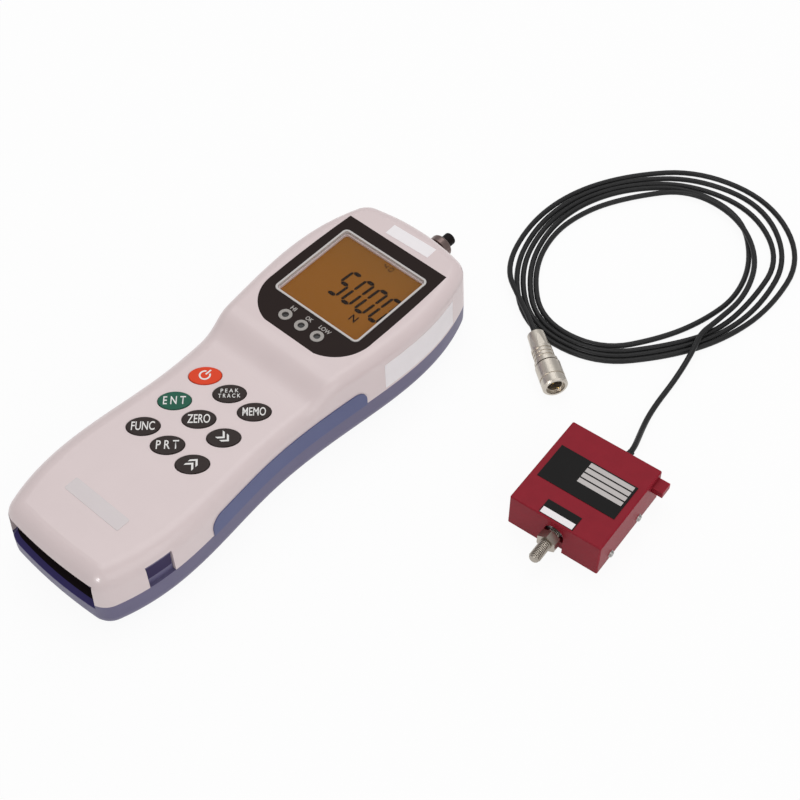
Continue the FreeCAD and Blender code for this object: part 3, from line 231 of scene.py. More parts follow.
# Finishes of the housing and its controls
caseShell = makeFinish("caseShell", (229, 212, 212), rough=0.36, grain=3200.0, bump=0.12, vary=0.012,
                       rub=0.2, rubTone=1.06, dust=0.0, coat=0.3, coatRough=0.14)
lowerShell = makeFinish("lowerShell", (98, 92, 126), rough=0.42, grain=2600.0, bump=0.2, vary=0.03, rub=0.3,
                        rubTone=1.3, dust=0.04)
gripSkin = makeFinish("gripSkin", (90, 96, 138), rough=0.55, grain=1500.0, bump=0.35, vary=0.03, rub=0.35,
                      rubTone=1.25, dust=0.05)
# the sill's band: the lower shell's violet, darkened as painted shade
sillVioletPaintedShade = makeFinish("sillVioletPaintedShade", (58, 50, 106), rough=0.45, grain=2600.0, vary=0.05, rub=0.0, dust=0.0,
                        specular=0.15)
# the notch wall: the lower shell's violet, darkened as painted shade
notchVioletPaintedShade = makeFinish("notchVioletPaintedShade", (56, 46, 84), rough=0.5, grain=2600.0, vary=0.05, rub=0.0, dust=0.0,
                         specular=0.1)
# the end panel's own black, also laid as painted shade on the slot's sill and the notch's top
slotBlackAndPaintedShade = makeFinish("slotBlackAndPaintedShade", (24, 17, 20), rough=0.6, vary=0.1, rub=0.0, specular=0.03, dust=0.0)
bezelFilm = makeFinish("bezelFilm", (42, 32, 30), rough=0.32, grain=5200.0, bump=0.1, vary=0.03, rub=0.1,
                       dust=0.0, specular=0.08)
frameLine = makeFinish("frameLine", (205, 200, 198), rough=0.35, vary=0.02, rub=0.0, dust=0.0)
ringSilver = makeFinish("ringSilver", (158, 153, 149), rough=0.34, metal=0.35, vary=0.04, rub=0.2,
                        rubTone=1.15, dust=0.0)
lensDark = makeFinish("lensDark", (22, 20, 22), rough=0.12, vary=0.1, rub=0.0, dust=0.0, coat=0.6,
                      coatRough=0.05)
keyDark = makeFinish("keyDark", (54, 45, 43), rough=0.42, grain=3800.0, bump=0.15, vary=0.03, rub=0.3,
                     rubTone=1.4, dust=0.01, specular=0.15)
keyRed = makeFinish("keyRed", (232, 70, 34), rough=0.42, grain=3800.0, bump=0.15, vary=0.02, rub=0.3,
                    rubTone=1.15, dust=0.0, specular=0.2)
keyGreen = makeFinish("keyGreen", (34, 96, 76), rough=0.42, grain=3800.0, bump=0.15, vary=0.03, rub=0.3,
                      rubTone=1.3, dust=0.0, specular=0.2)
keyWhite = makeFinish("keyWhite", (240, 238, 236), rough=0.5, grain=6000.0, bump=0.1, vary=0.02, rub=0.0,
                      dust=0.0)
printGrey = makeFinish("printGrey", (176, 170, 166), rough=0.5, grain=6000.0, bump=0.1, vary=0.03, rub=0.0,
                       dust=0.0)
siliconeMat = makeFinish("siliconeMat", (70, 68, 72), rough=0.7, vary=0.05)
blackPlastic = makeFinish("blackPlastic", (28, 27, 28), rough=0.4, vary=0.08, rub=0.4, rubTone=1.8)
lightGuide = makeFinish("lightGuide", (232, 214, 176), rough=0.25, vary=0.02, rub=0.0)
labelPaper = makeFinish("labelPaper", (252, 247, 249), rough=0.55, grain=5200.0, mottle=240.0, bump=0.12,
                        vary=0.012, rub=0.3, rubTone=0.9, rubWidth=0.0003, dust=0.0)
badgeFilm = makeFinish("badgeFilm", (214, 204, 205), rough=0.2, grain=7000.0, bump=0.05, vary=0.01, rub=0.0,
                       dust=0.0, coat=0.5, coatRough=0.08)

# Metals, electrics and the load cell
screwSteel = makeFinish("screwSteel", (150, 148, 146), rough=0.32, metal=1.0, vary=0.06, rub=0.5,
                        rubTone=1.3, rubWidth=0.0002, lines=7000.0, lineTurn=acrossZ)
springSteel = makeFinish("springSteel", (186, 184, 178), rough=0.28, metal=1.0, vary=0.05, lines=6000.0)
brassInsert = makeFinish("brassInsert", (196, 158, 92), rough=0.3, metal=1.0, vary=0.06, lines=7000.0,
                         lineTurn=acrossZ)
collarMetal = makeFinish("collarMetal", (118, 102, 99), rough=0.3, metal=0.9, vary=0.08, rub=0.5,
                         rubTone=1.4, rubWidth=0.0003, lines=5000.0, lineTurn=(0, 0, math.radians(90)))
nickelPlug = makeFinish("nickelPlug", (194, 187, 177), rough=0.38, metal=0.95, vary=0.05, rub=0.4,
                        rubTone=1.15, rubWidth=0.0003, lines=6000.0, lineTurn=(0, 0, math.radians(-35.2)))
goldPins = makeFinish("goldPins", (214, 178, 104), rough=0.22, metal=1.0, vary=0.04, lines=7000.0)
studSteel = makeFinish("studSteel", (168, 160, 150), rough=0.3, metal=1.0, vary=0.07, rub=0.4, rubTone=1.3,
                       rubWidth=0.0002, dust=0.0)
redAlloy = makeFinish("redAlloy", (144, 32, 46), rough=0.38, grain=4200.0, mottle=220.0, bump=0.3, vary=0.04,
                      rub=0.75, rubTone=1.5, rubWidth=0.0005, dust=0.0, specular=0.1)
beamAlloy = makeFinish("beamAlloy", (176, 176, 178), rough=0.34, metal=1.0, vary=0.05, lines=3500.0)
gaugeFoil = makeFinish("gaugeFoil", (186, 128, 62), rough=0.35, vary=0.12, grain=4000.0)
plateBlack = makeFinish("plateBlack", (32, 31, 31), rough=0.38, grain=4500.0, bump=0.12, vary=0.06, rub=0.5,
                        rubTone=1.8, rubWidth=0.0002, dust=0.0, specular=0.06)
pinBlack = makeFinish("pinBlack", (24, 17, 17), rough=0.5, vary=0.06, rub=0.3, rubTone=1.6, dust=0.0,
                      specular=0.12)
cableSkin = makeFinish("cableSkin", (34, 34, 35), rough=0.4, grain=2400.0, bump=0.25, vary=0.12, rub=0.0,
                       dust=0.01, specular=0.25)
cellWrap = makeFinish("cellWrap", (52, 60, 74), rough=0.3, vary=0.08, coat=0.4)
chipBlack = makeFinish("chipBlack", (34, 34, 36), rough=0.6, vary=0.1)


def makeBoardGreen():  # solder mask over straight copper tracks
    settings = {"mask": (22, 92, 58), "track": (46, 132, 84), "scale": 160.0, "gap": 0.035,
                "long": 1.7, "wide": 0.28}
    material = makeFinish("boardGreen", settings["mask"], rough=0.3, vary=0.08, rub=0.0, coat=0.3)
    tree = material.node_tree
    shader = tree.nodes["Principled BSDF"]
    place = put(tree, "ShaderNodeTexCoord").outputs["Object"]
    black, white = tint((0, 0, 0)), tint((255, 255, 255))
    tracks = put(tree, "ShaderNodeTexBrick", None,
                 {"Vector": place, "Scale": settings["scale"], "Mortar Size": settings["gap"],
                  "Brick Width": settings["long"], "Row Height": settings["wide"],
                  "Color1": black, "Color2": black, "Mortar": white})
    green = shader.inputs["Base Color"].links[0].from_socket
    tree.links.new(blend(tree, tracks.outputs["Color"], green, tint(settings["track"])),
                   shader.inputs["Base Color"])
    return material


def makeDisplayGlass():  # lit amber film, a little duller towards its far edge
    settings = {"amber": (136, 87, 34), "far": (130, 86, 38), "edge": 0.0830, "near": 0.0600, "glow": 0.22,
                "mesh": 3200.0, "light": (255, 255, 255), "dim": (248, 248, 248)}
    material = makeFinish("displayGlass", settings["amber"], rough=0.35, grain=9000.0, bump=0.0, rub=0.0,
                          dust=0.0, specular=0.02)
    tree = material.node_tree
    shader = tree.nodes["Principled BSDF"]
    place = put(tree, "ShaderNodeTexCoord").outputs["Object"]
    split = put(tree, "ShaderNodeSeparateXYZ", None, {0: place})
    far = put(tree, "ShaderNodeMapRange", {"interpolation_type": "SMOOTHSTEP"},
              {"Value": split.outputs["Y"], "From Min": settings["near"], "From Max": settings["edge"]})
    colour = blend(tree, far.outputs[0], tint(settings["amber"]), tint(settings["far"]))
    mesh = put(tree, "ShaderNodeTexChecker", None,
               {"Vector": place, "Scale": settings["mesh"],
                "Color1": tint(settings["light"]), "Color2": tint(settings["dim"])})
    colour = put(tree, "ShaderNodeMix", {"data_type": "RGBA", "blend_type": "MULTIPLY"},
                 {0: 1.0, 6: colour, 7: mesh.outputs[0]}).outputs[2]
    tree.links.new(colour, shader.inputs["Base Color"])
    tree.links.new(colour, shader.inputs["Emission Color"])
    shader.inputs["Emission Strength"].default_value = settings["glow"]
    return material


def makeClearWindow():
    settings = {"colour": (150, 146, 142), "alpha": 0.02, "rough": 0.05, "specular": 0.2}
    material = makeFinish("clearWindow", settings["colour"], rough=settings["rough"], spread=0.02,
                          grain=9000.0, bump=0.02, rub=0.0, dust=0.0, specular=settings["specular"])
    material.node_tree.nodes["Principled BSDF"].inputs["Alpha"].default_value = settings["alpha"]
    return material


boardGreen, displayGlass, clearWindow = makeBoardGreen(), makeDisplayGlass(), makeClearWindow()

nodeFinish = {
    caseShell: ["front_case"], lowerShell: ["rear_case", "battery_cover"],
    gripSkin: ["side_grip_right", "side_grip_left"], slotBlackAndPaintedShade: ["end_panel"],
    bezelFilm: ["display_bezel"], frameLine: ["window_frame"], clearWindow: ["display_window"],
    displayGlass: ["lcd_panel"], lightGuide: ["backlight"],
    ringSilver: ["indicator_rings"], lensDark: ["indicator_lenses"],
    keyDark: ["key_peak_track", "key_memo", "key_zero", "key_shift", "key_func", "key_print", "key_up"],
    keyRed: ["key_power"], keyGreen: ["key_enter"], siliconeMat: ["keypad_mat"],
    blackPlastic: ["lcd_holder", "buzzer", "battery_holder", "plug_insert"], pinBlack: ["socket_pin"],
    springSteel: ["dome_switches", "battery_contacts"],
    boardGreen: ["main_board", "bridge_board"], chipBlack: ["board_components"],
    screwSteel: ["board_screws", "case_screws", "cover_screws", "beam_screws"],
    cellWrap: ["battery_cells"], brassInsert: ["mounting_inserts"],
    collarMetal: ["socket_body", "socket_nut"],
    labelPaper: ["side_label", "top_label"], badgeFilm: ["badge_plate"],
    redAlloy: ["sensor_cover", "sensor_base"], beamAlloy: ["load_beam"], gaugeFoil: ["strain_gauges"],
    studSteel: ["load_stud", "stud_nut"], plateBlack: ["name_plate", "range_label"],
    cableSkin: ["cable_grommet", "cable_lead", "cable_coil", "cable_tail"],
    nickelPlug: ["plug_clamp", "plug_body", "plug_ring"], goldPins: ["plug_pins"]}
for material, names in nodeFinish.items():
    for name in names:
        for place in nodes[name].material_slots:
            place.material = material
print("finishes laid on", sum(len(names) for names in nodeFinish.values()), "of", len(nodes), "nodes")


# Making and placing pieces
def addPiece(name, mesh, body, material=None):
    if material:
        mesh.materials.clear()
        mesh.materials.append(material)
    piece = bpy.data.objects.new(name, mesh)
    bpy.context.scene.collection.objects.link(piece)
    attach(piece, body)
    return piece


def nodeTree(name):  # a merged copy of a node's surface, for laying print on it
    copy = bmesh.new()
    copy.from_mesh(nodes[name].data)
    return BVHTree.FromBMesh(copy)


def layOn(mesh, name, lift, down=Vector((0, 0, -1))):  # print follows the face it lies on
    surface, start = nodeTree(name), 0.1
    for point in mesh.vertices:
        hit = surface.ray_cast(point.co - down * start, down)[0]
        if hit:
            point.co = hit - down * lift
    mesh.update()


def wordsMesh(words, width, height, weight=0.0):  # lettering scaled to the size that it has on the piece
    data = bpy.data.curves.new(words, "FONT")
    data.body, data.offset, data.resolution_u = words, weight, 4
    host = bpy.data.objects.new(words, data)
    bpy.context.scene.collection.objects.link(host)
    bpy.context.view_layer.update()
    mesh = bpy.data.meshes.new_from_object(host.evaluated_get(bpy.context.evaluated_depsgraph_get()))
    bpy.data.objects.remove(host)
    low = Vector([min(point.co[k] for point in mesh.vertices) for k in range(3)])
    high = Vector([max(point.co[k] for point in mesh.vertices) for k in range(3)])
    size = high - low
    fit = Matrix.Diagonal((width / size.x, height / size.y, 1, 1))
    mesh.transform(fit @ Matrix.Translation(-(low + high) / 2))
    return mesh


def flatMesh(name, outlines):  # flat print from closed outlines in millimetres, facing up
    mesh = bpy.data.meshes.new(name)
    points, faces = [], []
    for outline in outlines:
        faces.append(list(range(len(points), len(points) + len(outline))))
        points += [(x * mm, y * mm, 0) for x, y in outline]
    mesh.from_pydata(points, [], faces)
    mesh.update()
    return mesh


def joined(name, meshes):  # several meshes as one
    whole = bmesh.new()
    for mesh in meshes:
        whole.from_mesh(mesh)
    mesh = bpy.data.meshes.new(name)
    whole.to_mesh(mesh)
    return mesh


def turned(angle, x, y):  # a turn in degrees and a place in millimetres
    return Matrix.Translation((x * mm, y * mm, 0)) @ Matrix.Rotation(math.radians(angle), 4, "Z")


def turnedBody(name, rings, sides):  # a closed body along Z from (height, radius) in millimetres
    shape = bmesh.new()
    loops = []
    for along, radius in rings:
        loop = []
        for k in range(sides):
            angle = 2 * math.pi * k / sides
            point = (radius * mm * math.cos(angle), radius * mm * math.sin(angle), along * mm)
            loop.append(shape.verts.new(point))
        loops.append(loop)
    for first, second in zip(loops, loops[1:]):
        for k in range(sides):
            beside = (k + 1) % sides
            shape.faces.new((first[k], first[beside], second[beside], second[k])).smooth = True
    shape.faces.new(loops[0][::-1])
    shape.faces.new(loops[-1])
    mesh = bpy.data.meshes.new(name)
    shape.to_mesh(mesh)
    return mesh


# Sensor cable: one line from the load cell, round the loose coil, to the plug
cableRoute = {
    "radius": 1.25,
    "lead": [(129.57, 83.33, 8.6), (128.95, 90.4, 8.6), (126.4, 97.6, 6.0), (123.4, 105.6, 3.0),
             (120.9, 113.8, 1.5), (119.3, 123.2, 1.3), (118.3, 133.5, 1.5), (117.0, 144.0, 3.0),
             (114.9, 154.6, 4.4), (112.2, 163.5, 4.3)],
    "centre": (69.5, 183.0), "firstAngle": -15.0, "step": 30.0,
    "outward": [45.0, 46.8, 50.6, 52.9, 53.2, 44.0, 42.8, 46.1, 51.7, 59.9, 56.0, 43.2,
                39.7, 42.8, 48.1, 56.6, 55.8, 49.6, 47.6, 49.1, 54.4, 62.8, 58.7, 48.1,
                47.9, 49.6, 61.3, 63.6, 58.3, 52.4, 50.4, 52.0, 58.0, 65.4, 61.6, 51.0,
                50.5, 54.2, 64.9, 69.7, 63.3, 55.1, 53.2, 54.9, 61.0, 68.2, 64.6, 54.0,
                53.1, 58.5, 71.5, 74.4, 68.7, 58.2, 56.0, 57.7, 64.8],
    "heights": {0: 3.9, 1: 3.7, 2: 4.0, 3: 4.0, 4: 2.4, 54: 1.4, 55: 2.6, 56: 4.2}, "floorHeight": 1.3,
    "tail": [(42.5, 125.6, 4.6), (52.25, 119.39, 5.6), (59.6, 114.2, 5.6)]}


def makeCable(route):
    points = list(route["lead"])
    for k, distance in enumerate(route["outward"]):
        angle = math.radians(route["firstAngle"] + k * route["step"])
        height = route["heights"].get(k, route["floorHeight"])
        points.append((route["centre"][0] + distance * math.cos(angle),
                       route["centre"][1] + distance * math.sin(angle), height))
    points += route["tail"]
    curve = bpy.data.curves.new("sensorCable", "CURVE")
    curve.dimensions = "3D"
    curve.bevel_depth, curve.bevel_resolution = route["radius"] * mm, 3
    curve.resolution_u, curve.use_fill_caps = 8, True
    line = curve.splines.new("NURBS")  # order 3, so that the strands keep to the points of the route
    line.points.add(len(points) - 1)
    for point, place in zip(line.points, points):
        point.co = (*[value * mm for value in place], 1)
    line.order_u = 3
    line.use_endpoint_u = True
    curve.materials.append(cableSkin)
    cable = bpy.data.objects.new("sensorCable", curve)
    bpy.context.scene.collection.objects.link(cable)
    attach(cable, "sensor")
    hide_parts("cable_lead", "cable_coil", "cable_tail")


makeCable(cableRoute)
print("cable laid")


# Print on the keys, at the lamps and on the display
keyPrint = {
    "turn": 42.5, "lift": 0.00003, "weight": 0.01,
    "words": {"key_enter": [("E N T", 9.0, 4.0, 0.0)], "key_zero": [("ZERO", 9.0, 4.4, 0.0)],
              "key_memo": [("MEMO", 9.3, 4.2, 0.0)], "key_func": [("FUNC", 9.3, 4.3, 0.0)],
              "key_print": [("P R T", 8.9, 4.2, 0.0)],
              "key_peak_track": [("P E A K", 7.2, 1.9, 1.35), ("T R A C K", 8.9, 2.0, -1.25)]},
    "ring": 2.1, "stroke": 0.36, "ringGap": 28, "ringSteps": 28, "barFrom": 0.5, "barTo": 3.5, "powerBack": -0.15,
    "chevronArm": 2.1, "chevronStep": 2.3, "chevronWide": 1.15, "chevronBack": -0.5}


def keyCentre(name):
    low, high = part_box(name)
    return (low.x + high.x) / 2 / mm, (low.y + high.y) / 2 / mm


def powerMark(look):
    gap, count, half = math.radians(look["ringGap"]), look["ringSteps"], look["stroke"]
    steps = [math.pi / 2 + gap + (2 * math.pi - 2 * gap) * k / count for k in range(count + 1)]
    outer, inner = [[(radius * math.cos(angle), radius * math.sin(angle)) for angle in steps]
                    for radius in (look["ring"] + half, look["ring"] - half)]
    quads = [[outer[k], outer[k + 1], inner[k + 1], inner[k]] for k in range(count)]
    bar = [(-half, look["barFrom"]), (half, look["barFrom"]), (half, look["barTo"]), (-half, look["barTo"])]
    return flatMesh("powerMark", quads + [bar])


def chevronMark(look):
    arm, wide = look["chevronArm"], look["chevronWide"]
    outlines = []
    for tip in (0.0, look["chevronStep"]):
        for side in (1, -1):
            arrow = [(tip, 0), (tip - arm, side * arm), (tip - arm + wide, side * arm), (tip + wide, 0)]
            outlines.append(arrow if side < 0 else arrow[::-1])
    return flatMesh("chevronMark", outlines)


def printKeys(look):
    for name, lines in look["words"].items():
        parts = []
        for words, width, height, up in lines:
            mesh = wordsMesh(words, width * mm, height * mm, look["weight"])
            mesh.transform(turned(look["turn"], *keyCentre(name)) @ Matrix.Translation((0, up * mm, 0)))
            parts.append(mesh)
        whole = joined(name + "_legend", parts)
        layOn(whole, name, look["lift"])
        addPiece(name + "_legend", whole, name, keyWhite)
    marks = {"key_power": (powerMark(look), 0, look["powerBack"]),
             "key_shift": (chevronMark(look), 0, look["chevronBack"]),
             "key_up": (chevronMark(look), 90, look["chevronBack"])}
    for name, (mesh, angle, back) in marks.items():
        mesh.transform(turned(angle, *keyCentre(name)) @ Matrix.Translation((back * mm, 0, 0)))
        layOn(mesh, name, look["lift"])
        addPiece(name + "_legend", mesh, name, keyWhite)


printKeys(keyPrint)

lampPrint = {"up": 36.3, "height": 2.1, "weight": 0.02, "lift": 0.00003,
             "words": [("HI", -8.6, 2.6), ("OK", 0.2, 3.4), ("LOW", 9.0, 5.8)]}


def printLamps(look):
    parts = []
    for words, across, width in look["words"]:
        mesh = wordsMesh(words, width * mm, look["height"] * mm, look["weight"])
        mesh.transform(turned(0, across, look["up"]))
        parts.append(mesh)
    whole = joined("lamp_words", parts)
    layOn(whole, "display_bezel", look["lift"])
    addPiece("lamp_words", whole, "handheld", printGrey)


printLamps(lampPrint)

displayInk = makeFinish("displayInk", (34, 22, 12), rough=0.5, grain=9000.0, bump=0.03, vary=0.12, rub=0.0,
                        dust=0.0, specular=0.05)
displayPrint = {
    "digits": "5000", "centres": (-3.7, 3.8, 11.3, 18.8), "low": 53.4, "high": 70.2,
    "width": 5.7, "bar": 1.3, "cap": 1.9, "gap": 0.16, "slant": 0.07,
    "unit": ("N", 12.1, 50.1, 3.2, 3.6), "weight": 0.02, "lift": 0.00003,
    "small": {"digits": "40", "across": 2.6, "step": 3.0, "up": 80.7,
              "tall": 2.7, "width": 2.0, "bar": 0.42, "gap": 0.05}}
segmentsOf = {"0": "abcdef", "4": "fgbc", "5": "afgcd"}  # clockwise from the top one, g in the middle


def digitOutlines(digit, centre, low, high, width, bar, cap, gap, slant):  # level segments are thicker
    half, tall, middle = width / 2 - bar / 2, (high - low - cap) / 2, (low + high) / 2
    spots = {"a": ((0, 2 * tall), 0), "g": ((0, tall), 0), "d": ((0, 0), 0),
             "f": ((-half, 1.5 * tall), 90), "b": ((half, 1.5 * tall), 90),
             "e": ((-half, 0.5 * tall), 90), "c": ((half, 0.5 * tall), 90)}
    outlines = []
    for name in segmentsOf[digit]:
        (x, y), angle = spots[name]
        reach = (half if angle == 0 else tall / 2) - gap
        lean = (bar if angle else cap) / 2
        shape = [(-reach, 0), (-reach + lean, -lean), (reach - lean, -lean), (reach, 0),
                 (reach - lean, lean), (-reach + lean, lean)]
        if angle:
            shape = [(-b, a) for a, b in shape]
        placed = [(centre + x + a, low + cap / 2 + y + b) for a, b in shape]
        outlines.append([(across + slant * (up - middle), up) for across, up in placed])
    return outlines


def printDisplay(look):
    outlines = []
    for digit, centre in zip(look["digits"], look["centres"]):
        outlines += digitOutlines(digit, centre, look["low"], look["high"], look["width"],
                                  look["bar"], look["cap"], look["gap"], look["slant"])
    small = look["small"]
    for k, digit in enumerate(small["digits"]):
        centre = small["across"] + k * small["step"]
        low, high = small["up"] - small["tall"] / 2, small["up"] + small["tall"] / 2
        outlines += digitOutlines(digit, centre, low, high, small["width"],
                                  small["bar"], small["bar"], small["gap"], look["slant"])
    letter, across, up, width, tall = look["unit"]
    unit = wordsMesh(letter, width * mm, tall * mm, look["weight"])
    unit.transform(turned(0, across, up))
    whole = joined("display_digits", [flatMesh("digitBars", outlines), unit])
    layOn(whole, "lcd_panel", look["lift"])
    addPiece("display_digits", whole, "handheld", displayInk)


printDisplay(displayPrint)
print("print laid on keys and display")

# Films of painted shade on the end slot's sloped sill, darkened violet in front and black behind, and on the
# notch's wall
sillLook = {"left": -25.4, "right": 22.8, "columns": 32, "end": -107.5, "bow": 0.00222,
            "cornerFrom": 21.0, "cornerBow": 0.05, "rim": 0.12, "edge": 2.2, "inner": -102.2, "lift": 0.00003}


def sillFront(x, look):
    return look["end"] + look["bow"] * x * x + look["cornerBow"] * max(0.0, abs(x) - look["cornerFrom"]) ** 2


def layFilm(name, finish, near, far, look):  # between two lines across the sill
    width = (look["right"] - look["left"]) / look["columns"]
    outlines = []
    for k in range(look["columns"]):
        first, last = look["left"] + k * width, look["left"] + (k + 1) * width
        outlines.append([(first, near(first)), (last, near(last)), (last, far(last)), (first, far(first))])
    film = flatMesh(name, outlines)
    layOn(film, "rear_case", look["lift"])
    addPiece(name, film, "handheld", finish)


def sillRim(x):
    return sillFront(x, sillLook) + sillLook["rim"]


def sillEdge(x):
    return sillFront(x, sillLook) + sillLook["edge"]


def sillInner(x):
    return sillLook["inner"]


# painted shade: a darkened violet band at the sill's front, black over the rest
layFilm("sill_edge_shade_film", sillVioletPaintedShade, sillRim, sillEdge, sillLook)
layFilm("sill_inner_shade_film", slotBlackAndPaintedShade, sillEdge, sillInner, sillLook)

notchLook = {"start": -86.6, "end": -75.4, "columns": 8, "low": 18.6, "shade": 25.6, "high": 27.4,
             "lift": 0.00003}


def layWallFilm(name, finish, low, high, look):  # upright, on the wall that faces right
    width = (look["end"] - look["start"]) / look["columns"]
    edges = [look["start"] + k * width for k in range(look["columns"] + 1)]
    film = flatMesh(name, [[(first, low), (last, low), (last, high), (first, high)]
                           for first, last in zip(edges, edges[1:])])
    film.transform(Matrix.Rotation(math.radians(90), 4, "Z") @ Matrix.Rotation(math.radians(90), 4, "X"))
    layOn(film, "rear_case", look["lift"], Vector((-1, 0, 0)))
    addPiece(name, film, "handheld", finish)


# painted shade on the notch's wall, with black painted shadow along its top
layWallFilm("notch_wall_shade_film", notchVioletPaintedShade, notchLook["low"], notchLook["shade"], notchLook)
layWallFilm("notch_top_shade_film", slotBlackAndPaintedShade, notchLook["shade"], notchLook["high"], notchLook)
print("films laid on the sill and the notch")

# The load cell's own frame, turned on the floor
sensorStand = {"place": (0.1302, 0.036, 0), "turn": 5}
sensorTurn = Matrix.Rotation(math.radians(sensorStand["turn"]), 4, "Z")
sensorPlace = Matrix.Translation(sensorStand["place"]) @ sensorTurn
fieldGrey = makeFinish("fieldGrey", (198, 192, 190), rough=0.5, grain=5000.0, bump=0.1, vary=0.03, rub=0.0,
                       dust=0.0)


# Geometry node trees for what repeats
def newTree(name, sizes):
    tree = bpy.data.node_groups.new(name, "GeometryNodeTree")
    for label, kind in {**sizes, "finish": "Material"}.items():
        tree.interface.new_socket(label, in_out="INPUT", socket_type="NodeSocket" + kind)
    tree.interface.new_socket("Geometry", in_out="OUTPUT", socket_type="NodeSocketGeometry")
    return tree, tree.nodes.new("NodeGroupInput").outputs


def closeTree(tree, given, parts):
    both = put(tree, "GeometryNodeJoinGeometry")
    for part in parts:
        tree.links.new(part, both.inputs[0])
    plain = put(tree, "GeometryNodeRealizeInstances", None, {0: both.outputs[0]})
    done = put(tree, "GeometryNodeSetMaterial", None,
               {"Geometry": plain.outputs[0], "Material": given["finish"]})
    tree.links.new(done.outputs[0], tree.nodes.new("NodeGroupOutput").inputs[0])
    return tree


def growPiece(name, tree, values, place, body):
    host = bpy.data.objects.new(name + "Host", bpy.data.meshes.new(name + "Host"))
    bpy.context.scene.collection.objects.link(host)
    grow = host.modifiers.new("grow", "NODES")
    grow.node_group = tree
    for item in tree.interface.items_tree:
        if item.in_out == "INPUT" and item.name in values:
            grow[item.identifier] = values[item.name]
    bpy.context.view_layer.update()
    mesh = bpy.data.meshes.new_from_object(host.evaluated_get(bpy.context.evaluated_depsgraph_get()))
    host.modifiers.remove(grow)
    bpy.data.objects.remove(host)
    mesh.transform(place)
    return addPiece(name, mesh, body, None)


def makeThreadTree():  # a V thread wound on a core, along Z
    sizes = {"radius": "Float", "depth": "Float", "pitch": "Float", "length": "Float"}
    tree, given = newTree("threadWinding", sizes)
    turns = put(tree, "ShaderNodeMath", {"operation": "DIVIDE"}, {0: given["length"], 1: given["pitch"]})
    root = put(tree, "ShaderNodeMath", {"operation": "SUBTRACT"}, {0: given["radius"], 1: given["depth"]})
    winding = put(tree, "GeometryNodeCurveSpiral", None,
                  {"Resolution": 28, "Rotations": turns.outputs[0], "Start Radius": root.outputs[0],
                   "End Radius": root.outputs[0], "Height": given["length"]})
    upright = put(tree, "GeometryNodeSetCurveNormal", {"mode": "Z_UP"}, {0: winding.outputs[0]})
    edge = put(tree, "GeometryNodeCurvePrimitiveCircle", None, {"Resolution": 4, "Radius": given["depth"]})
    thread = put(tree, "GeometryNodeCurveToMesh", None,
                 {"Curve": upright.outputs[0], "Profile Curve": edge.outputs[0], "Fill Caps": True})
    return closeTree(tree, given, [thread.outputs[0]])


def makeFieldTree():  # flat rows on a plate
    sizes = {"count": "Int", "pitch": "Float", "rowLength": "Float", "rowWidth": "Float"}
    tree, given = newTree("fieldRows", sizes)
    step = put(tree, "ShaderNodeCombineXYZ", None, {1: given["pitch"]})
    rows = put(tree, "GeometryNodeMeshLine", None, {"Count": given["count"], "Offset": step.outputs[0]})
    field = put(tree, "GeometryNodeMeshGrid", None,
                {"Size X": given["rowLength"], "Size Y": given["rowWidth"], "Vertices X": 2, "Vertices Y": 2})
    laid = put(tree, "GeometryNodeInstanceOnPoints", None,
               {"Points": rows.outputs[0], "Instance": field.outputs[0]})
    return closeTree(tree, given, [laid.outputs[0]])


threadTree, fieldTree = makeThreadTree(), makeFieldTree()


# Load stud with its thread, bare plate with empty fields, range label with its pale half
studLook = {"free": -14.5, "inner": 3.0, "axis": 9.2, "core": 2.1, "chamfer": 0.5, "sides": 40,
            "major": 2.5, "depth": 0.42, "pitch": 0.8, "threadFrom": 0.8, "threadShort": 2.4}


def makeStud(look):
    free = Matrix.Translation((0, look["free"] * mm, look["axis"] * mm))
    axis = sensorPlace @ free @ Matrix.Rotation(math.radians(-90), 4, "X")
    length = look["inner"] - look["free"]
    rings = [(0, look["core"] - look["chamfer"]), (look["chamfer"], look["core"]), (length, look["core"])]
    core = turnedBody("loadStudCore", rings, look["sides"])
    core.transform(axis)
    stud = addPiece("loadStudCore", core, "sensor", studSteel)
    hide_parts("load_stud")
    sizes = {"radius": look["major"] * mm, "depth": look["depth"] * mm, "pitch": look["pitch"] * mm,
             "length": (length - look["threadShort"]) * mm, "finish": studSteel}
    place = axis @ Matrix.Translation((0, 0, look["threadFrom"] * mm))
    growPiece("loadStudThread", threadTree, sizes, place, "sensor")


makeStud(studLook)

plateLook = {"rows": 4, "pitch": 2.9, "rowLength": 20.3, "rowWidth": 2.2, "across": 6.45, "along": 22.6,
             "lift": 0.03}
rangeLook = {"across": -0.25, "along": 2.4, "length": 14.7, "width": 3.0, "lift": 0.03}


def plateTop(name, look):  # a place on top of a plate of the load cell
    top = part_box(name)[1].z / mm + look["lift"]
    return sensorPlace @ Matrix.Translation((look["across"] * mm, look["along"] * mm, top * mm))


def makeFields(look):
    sizes = {"count": look["rows"], "pitch": look["pitch"] * mm, "rowLength": look["rowLength"] * mm,
             "rowWidth": look["rowWidth"] * mm, "finish": fieldGrey}
    growPiece("plateFields", fieldTree, sizes, plateTop("name_plate", look), "sensor")


def makeRangeField(look):
    long, wide = look["length"] / 2, look["width"] / 2
    field = flatMesh("range_label_pale", [[(-long, -wide), (long, -wide), (long, wide), (-long, wide)]])
    field.transform(plateTop("range_label", look))
    addPiece("range_label_pale", field, "sensor", labelPaper)


makeFields(plateLook)
makeRangeField(rangeLook)

# The boot where the cable leaves the load cell
bootLook = {"place": (129.57, 83.33, 8.6), "length": 5.5, "wide": 2.3, "narrow": 1.4, "rings": 4,
            "ripple": 0.16, "stepsPerRing": 8, "sides": 32}


